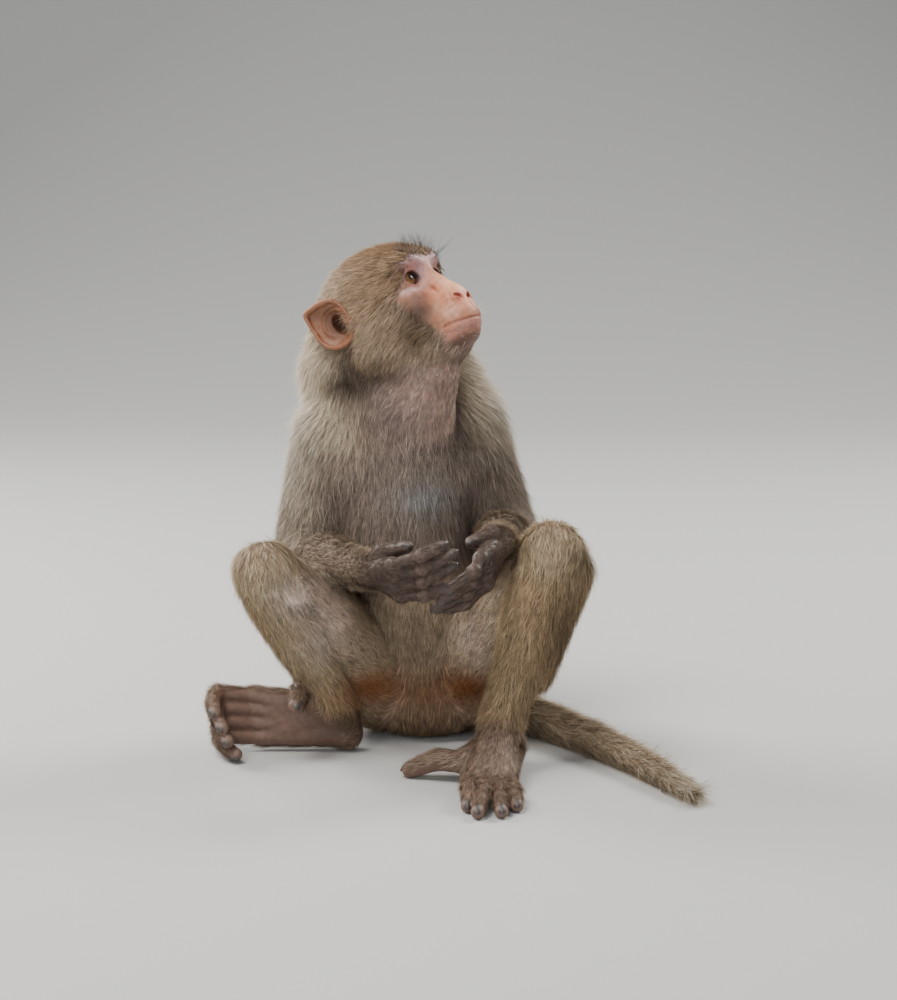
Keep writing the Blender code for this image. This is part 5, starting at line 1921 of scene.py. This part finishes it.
@dataclass(frozen=True)
class Finish:
    """A material of one colour with a faint speckle, and what every other finish builds on."""

    name: str
    roughness: float
    specular: float = 0.5
    speckle: Speckle = Speckle(500.0, 0.85, 1.15)
    colour: Triple = (0.5, 0.5, 0.5)

    def bare_material(self) -> tuple[Material, Tree, Node]:
        """The material, its nodes and its Principled shader, without a colour."""
        material = bpy.data.materials.new(self.name)
        material.use_nodes = True
        tree = material.node_tree
        shader = tree.nodes["Principled BSDF"]
        return material, tree, fill(shader, Roughness=self.roughness, Specular_IOR_Level=self.specular)

    def painted(self, tree: Tree, shader: Node, layer: str) -> Node:
        """Colours the shader by the points' own colours of this name, speckled; gives the speckle node."""
        paint, speckle = node(tree, "Attribute"), self.speckle.add(tree)
        paint.attribute_name = layer
        wire(tree, (paint, "Color", speckle, "Colour"), (speckle, "Colour", shader, "Base Color"))
        return speckle

    def make(self) -> Material:
        """The plain material."""
        material, tree, shader = self.bare_material()
        speckle = fill(self.speckle.add(tree), Colour=(*self.colour, 1.0))
        wire(tree, (speckle, "Colour", shader, "Base Color"))
        return material


@dataclass(frozen=True)
class SkinFinish(Finish):
    """Bare skin: painted colour, fine mottling and creases, a little light through it."""

    pores: float = 750.0
    relief: float = 0.0004

    def make(self) -> Material:
        """The skin's material."""
        material, tree, shader = self.bare_material()
        self.painted(tree, shader, "Skin")
        place = node(tree, "TexCoord")
        cells = node(tree, "TexVoronoi", Scale=self.pores)
        cells.feature = "DISTANCE_TO_EDGE"
        bump = node(tree, "Bump", Strength=0.3, Distance=self.relief)
        wire(
            tree,
            (place, "Object", cells, "Vector"),
            (cells, "Distance", bump, "Height"),
            (bump, "Normal", shader, "Normal"),
        )
        fill(shader, Subsurface_Weight=0.12, Subsurface_Radius=(0.9, 0.35, 0.2), Subsurface_Scale=0.0025)
        return material


@dataclass(frozen=True)
class FurFinish(Finish):
    """Fur: painted colour with a fine variation, dull, with some light through each hair."""

    through: float = 0.42

    def make(self) -> Material:
        """The coat's material."""
        material, tree, shader = self.bare_material()
        speckle = self.painted(tree, shader, "Coat")
        lit = node(tree, "BsdfTranslucent")
        blend = node(tree, "MixShader", Fac=self.through)
        wire(
            tree,
            (speckle, "Colour", lit, "Color"),
            (shader, "BSDF", blend, 1),
            (lit, "BSDF", blend, 2),
            (blend, "Shader", tree.nodes["Material Output"], "Surface"),
        )
        return material


@dataclass(frozen=True)
class EyeFinish(Finish):
    """Wet amber-brown eye: pupil, iris and dark rim as rings round the gaze."""

    rings = (
        (0.0, (0.004, 0.003, 0.003)),
        (0.22, (0.005, 0.003, 0.003)),
        (0.26, (0.07, 0.031, 0.012)),
        (0.44, (0.15, 0.068, 0.024)),
        (0.6, (0.06, 0.027, 0.011)),
        (0.69, (0.012, 0.007, 0.005)),
        (0.76, (0.09, 0.06, 0.045)),
        (1.0, (0.2, 0.15, 0.12)),
    )

    def make(self) -> Material:
        """The eye's material, its rings given as shares of the eyeball's radius."""
        material, tree, shader = self.bare_material()
        place = node(tree, "TexCoord")
        split = node(tree, "SeparateXYZ")
        flat = node(tree, "CombineXYZ")
        reach = node(tree, "VectorMath")
        reach.operation = "LENGTH"
        spread = node(tree, "MapRange", From_Max=EYE.radius)
        ramp = node(tree, "ValToRGB")
        wire(
            tree,
            (place, "Object", split, "Vector"),
            (split, "X", flat, "X"),
            (split, "Y", flat, "Y"),
            (flat, "Vector", reach, 0),
            (reach, "Value", spread, "Value"),
            (spread, "Result", ramp, "Fac"),
            (ramp, "Color", shader, "Base Color"),
        )
        elements = ramp.color_ramp.elements
        while len(elements) < len(self.rings):
            elements.new(1.0)
        for element, (position, colour) in zip(elements, self.rings):
            element.position = position
            element.color = (*colour, 1.0)
        fill(shader, Coat_Weight=0.4, Coat_Roughness=0.02)
        return material


SKIN = SkinFinish("bare_skin", 0.52, 0.35, Speckle(260.0, 0.8, 1.14))
COAT = FurFinish("coat", 0.62, 0.22, Speckle(190.0, 0.86, 1.12))
IRIS = EyeFinish("eye", 0.3, 0.25)
HORN = Finish("nail", 0.5, colour=(0.05, 0.038, 0.032))


# ---------------------------------------------------------------- the studio
@dataclass(frozen=True)
class Lamp:
    """A soft rectangular light, aimed at the animal."""

    name: str
    place: Triple
    size: float
    power: float
    colour: Triple


class Studio:
    """Floor, lights and camera."""

    sky = ((0.8, 0.84, 0.88), 0.3)
    wall, bend, half_width, top = 1.6, 1.5, 14.0, 5.0
    aim = Vector((0.0, 0.0, 0.18))
    lamps = (
        Lamp("key", (-0.8, -0.7, 2.1), 1.0, 61.0, (1.0, 0.96, 0.91)),
        Lamp("fill", (-0.25, -2.4, 0.8), 1.6, 30.0, (0.97, 0.98, 1.0)),
        Lamp("rim", (1.25, 0.95, 1.5), 0.7, 46.0, (1.0, 0.98, 0.94)),
        Lamp("rim_left", (-1.3, 0.8, 1.1), 0.8, 42.0, (1.0, 0.98, 0.95)),
    )

    def build(self) -> None:
        """Makes them all, and the sky."""
        self.floor()
        for lamp in self.lamps:
            self.light(lamp)
        self.camera()
        world = bpy.data.worlds.new("studio")
        world.use_nodes = True
        colour, strength = self.sky
        fill(world.node_tree.nodes["Background"], Color=(*colour, 1.0), Strength=strength)
        bpy.context.scene.world = world

    def floor(self) -> None:
        """A plain pale floor that curves up into a wall behind."""
        wall, bend, half = self.wall, self.bend, self.half_width
        turns = [math.radians(degrees) for degrees in range(6, 91, 6)]
        arc = [(wall + bend * math.sin(turn), bend - bend * math.cos(turn)) for turn in turns]
        profile = [(-half, 0.0), (wall, 0.0), *arc, (wall + bend, self.top)]
        points = [(x, y, z) for y, z in profile for x in (-half, half)]
        faces = [(2 * i, 2 * i + 1, 2 * i + 3, 2 * i + 2) for i in range(len(profile) - 1)]
        mesh = bpy.data.meshes.new("floor")
        mesh.from_pydata(points, [], faces)
        mesh.shade_smooth()
        material = bpy.data.materials.new("floor")
        material.use_nodes = True
        shader = material.node_tree.nodes["Principled BSDF"]
        fill(shader, Base_Color=(0.44, 0.44, 0.43, 1.0), Roughness=0.9)
        mesh.materials.append(material)
        in_scene("floor", mesh)

    def light(self, lamp: Lamp) -> None:
        """Adds one lamp."""
        data = bpy.data.lights.new(lamp.name, "AREA")
        data.size = lamp.size
        data.energy = lamp.power
        data.color = lamp.colour
        light = in_scene(lamp.name, data)
        light.location = lamp.place
        aim = Vector(lamp.place) - self.aim
        light.rotation_euler = aim.to_track_quat("Z", "Y").to_euler()

    @staticmethod
    def camera() -> None:
        """A long lens a little above the animal, looking along +Y."""
        data = bpy.data.cameras.new("camera")
        data.lens = 100
        data.sensor_width = 36
        data.clip_start, data.clip_end = 0.05, 30
        camera = in_scene("camera", data)
        camera.location = (0.01833, -2.13377, 0.56355)
        camera.rotation_euler = (math.radians(80), 0, 0)
        bpy.context.scene.camera = camera


FLESH = ("head", "neck", "trunk", "tail") + tuple(
    f"{part}_{side}"
    for part in ("upper_arm", "forearm", "hand", "thigh", "shank", "foot", "ear")
    for side in ("left", "right")
)


def main() -> None:
    """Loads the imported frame, builds the skin, eyes and coat, and sets the studio round them."""
    logging.basicConfig(level=logging.INFO, format="%(name)s: %(message)s")
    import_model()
    body = Body()
    skin = Skin(body).build()
    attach(skin, "root")
    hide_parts(*FLESH)
    fleece = Fleece(Coat(body), skin)
    fleece.skin_arrays()
    paint_points(skin.data, "Skin", fleece.coat.skin_colour(fleece.points, fleece.weights, fleece.bareness))
    skin.data.materials.append(SKIN.make())
    fur = COAT.make()
    for piece in fleece.build():
        piece.data.materials.append(fur)
        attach(piece, "root")
    iris = IRIS.make()
    for side, word in ((1, "left"), (-1, "right")):
        eye = Eye(side).build()
        eye.data.materials.append(iris)
        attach(eye, "root")
        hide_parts(f"eye_{word}")
    fruit, grip = vec(0.013, -0.133, 0.168), vec(-0.12, -0.085, 0.022)
    horn = HORN.make()
    for side in ("left", "right"):
        hand = Nails.tips_of(HANDS[side], THUMBS[side], fruit, (0.0041, 0.0048))
        foot = Nails.tips_of(FEET[side], HALLUXES[side], grip if side == "right" else None, (0.005, 0.0062))
        for name, tips in ((f"nails_hand_{side}", hand), (f"nails_foot_{side}", foot)):
            nails = Nails(name, tips).build()
            nails.data.materials.append(horn)
            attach(nails, "root")
    for name, tresses, thick, colour in (
        ("brow_hairs", BROWS, 0.0001, (0.016, 0.012, 0.01)),
        ("whiskers", WHISKERS, 0.00007, (0.72, 0.68, 0.62)),
    ):
        hairs = LongHairs(name, tresses, thick, body).build()
        hairs.data.materials.append(Finish(name, 0.5, colour=colour).make())
        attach(hairs, "root")
    Studio().build()


if __name__ == "__main__":
    main()
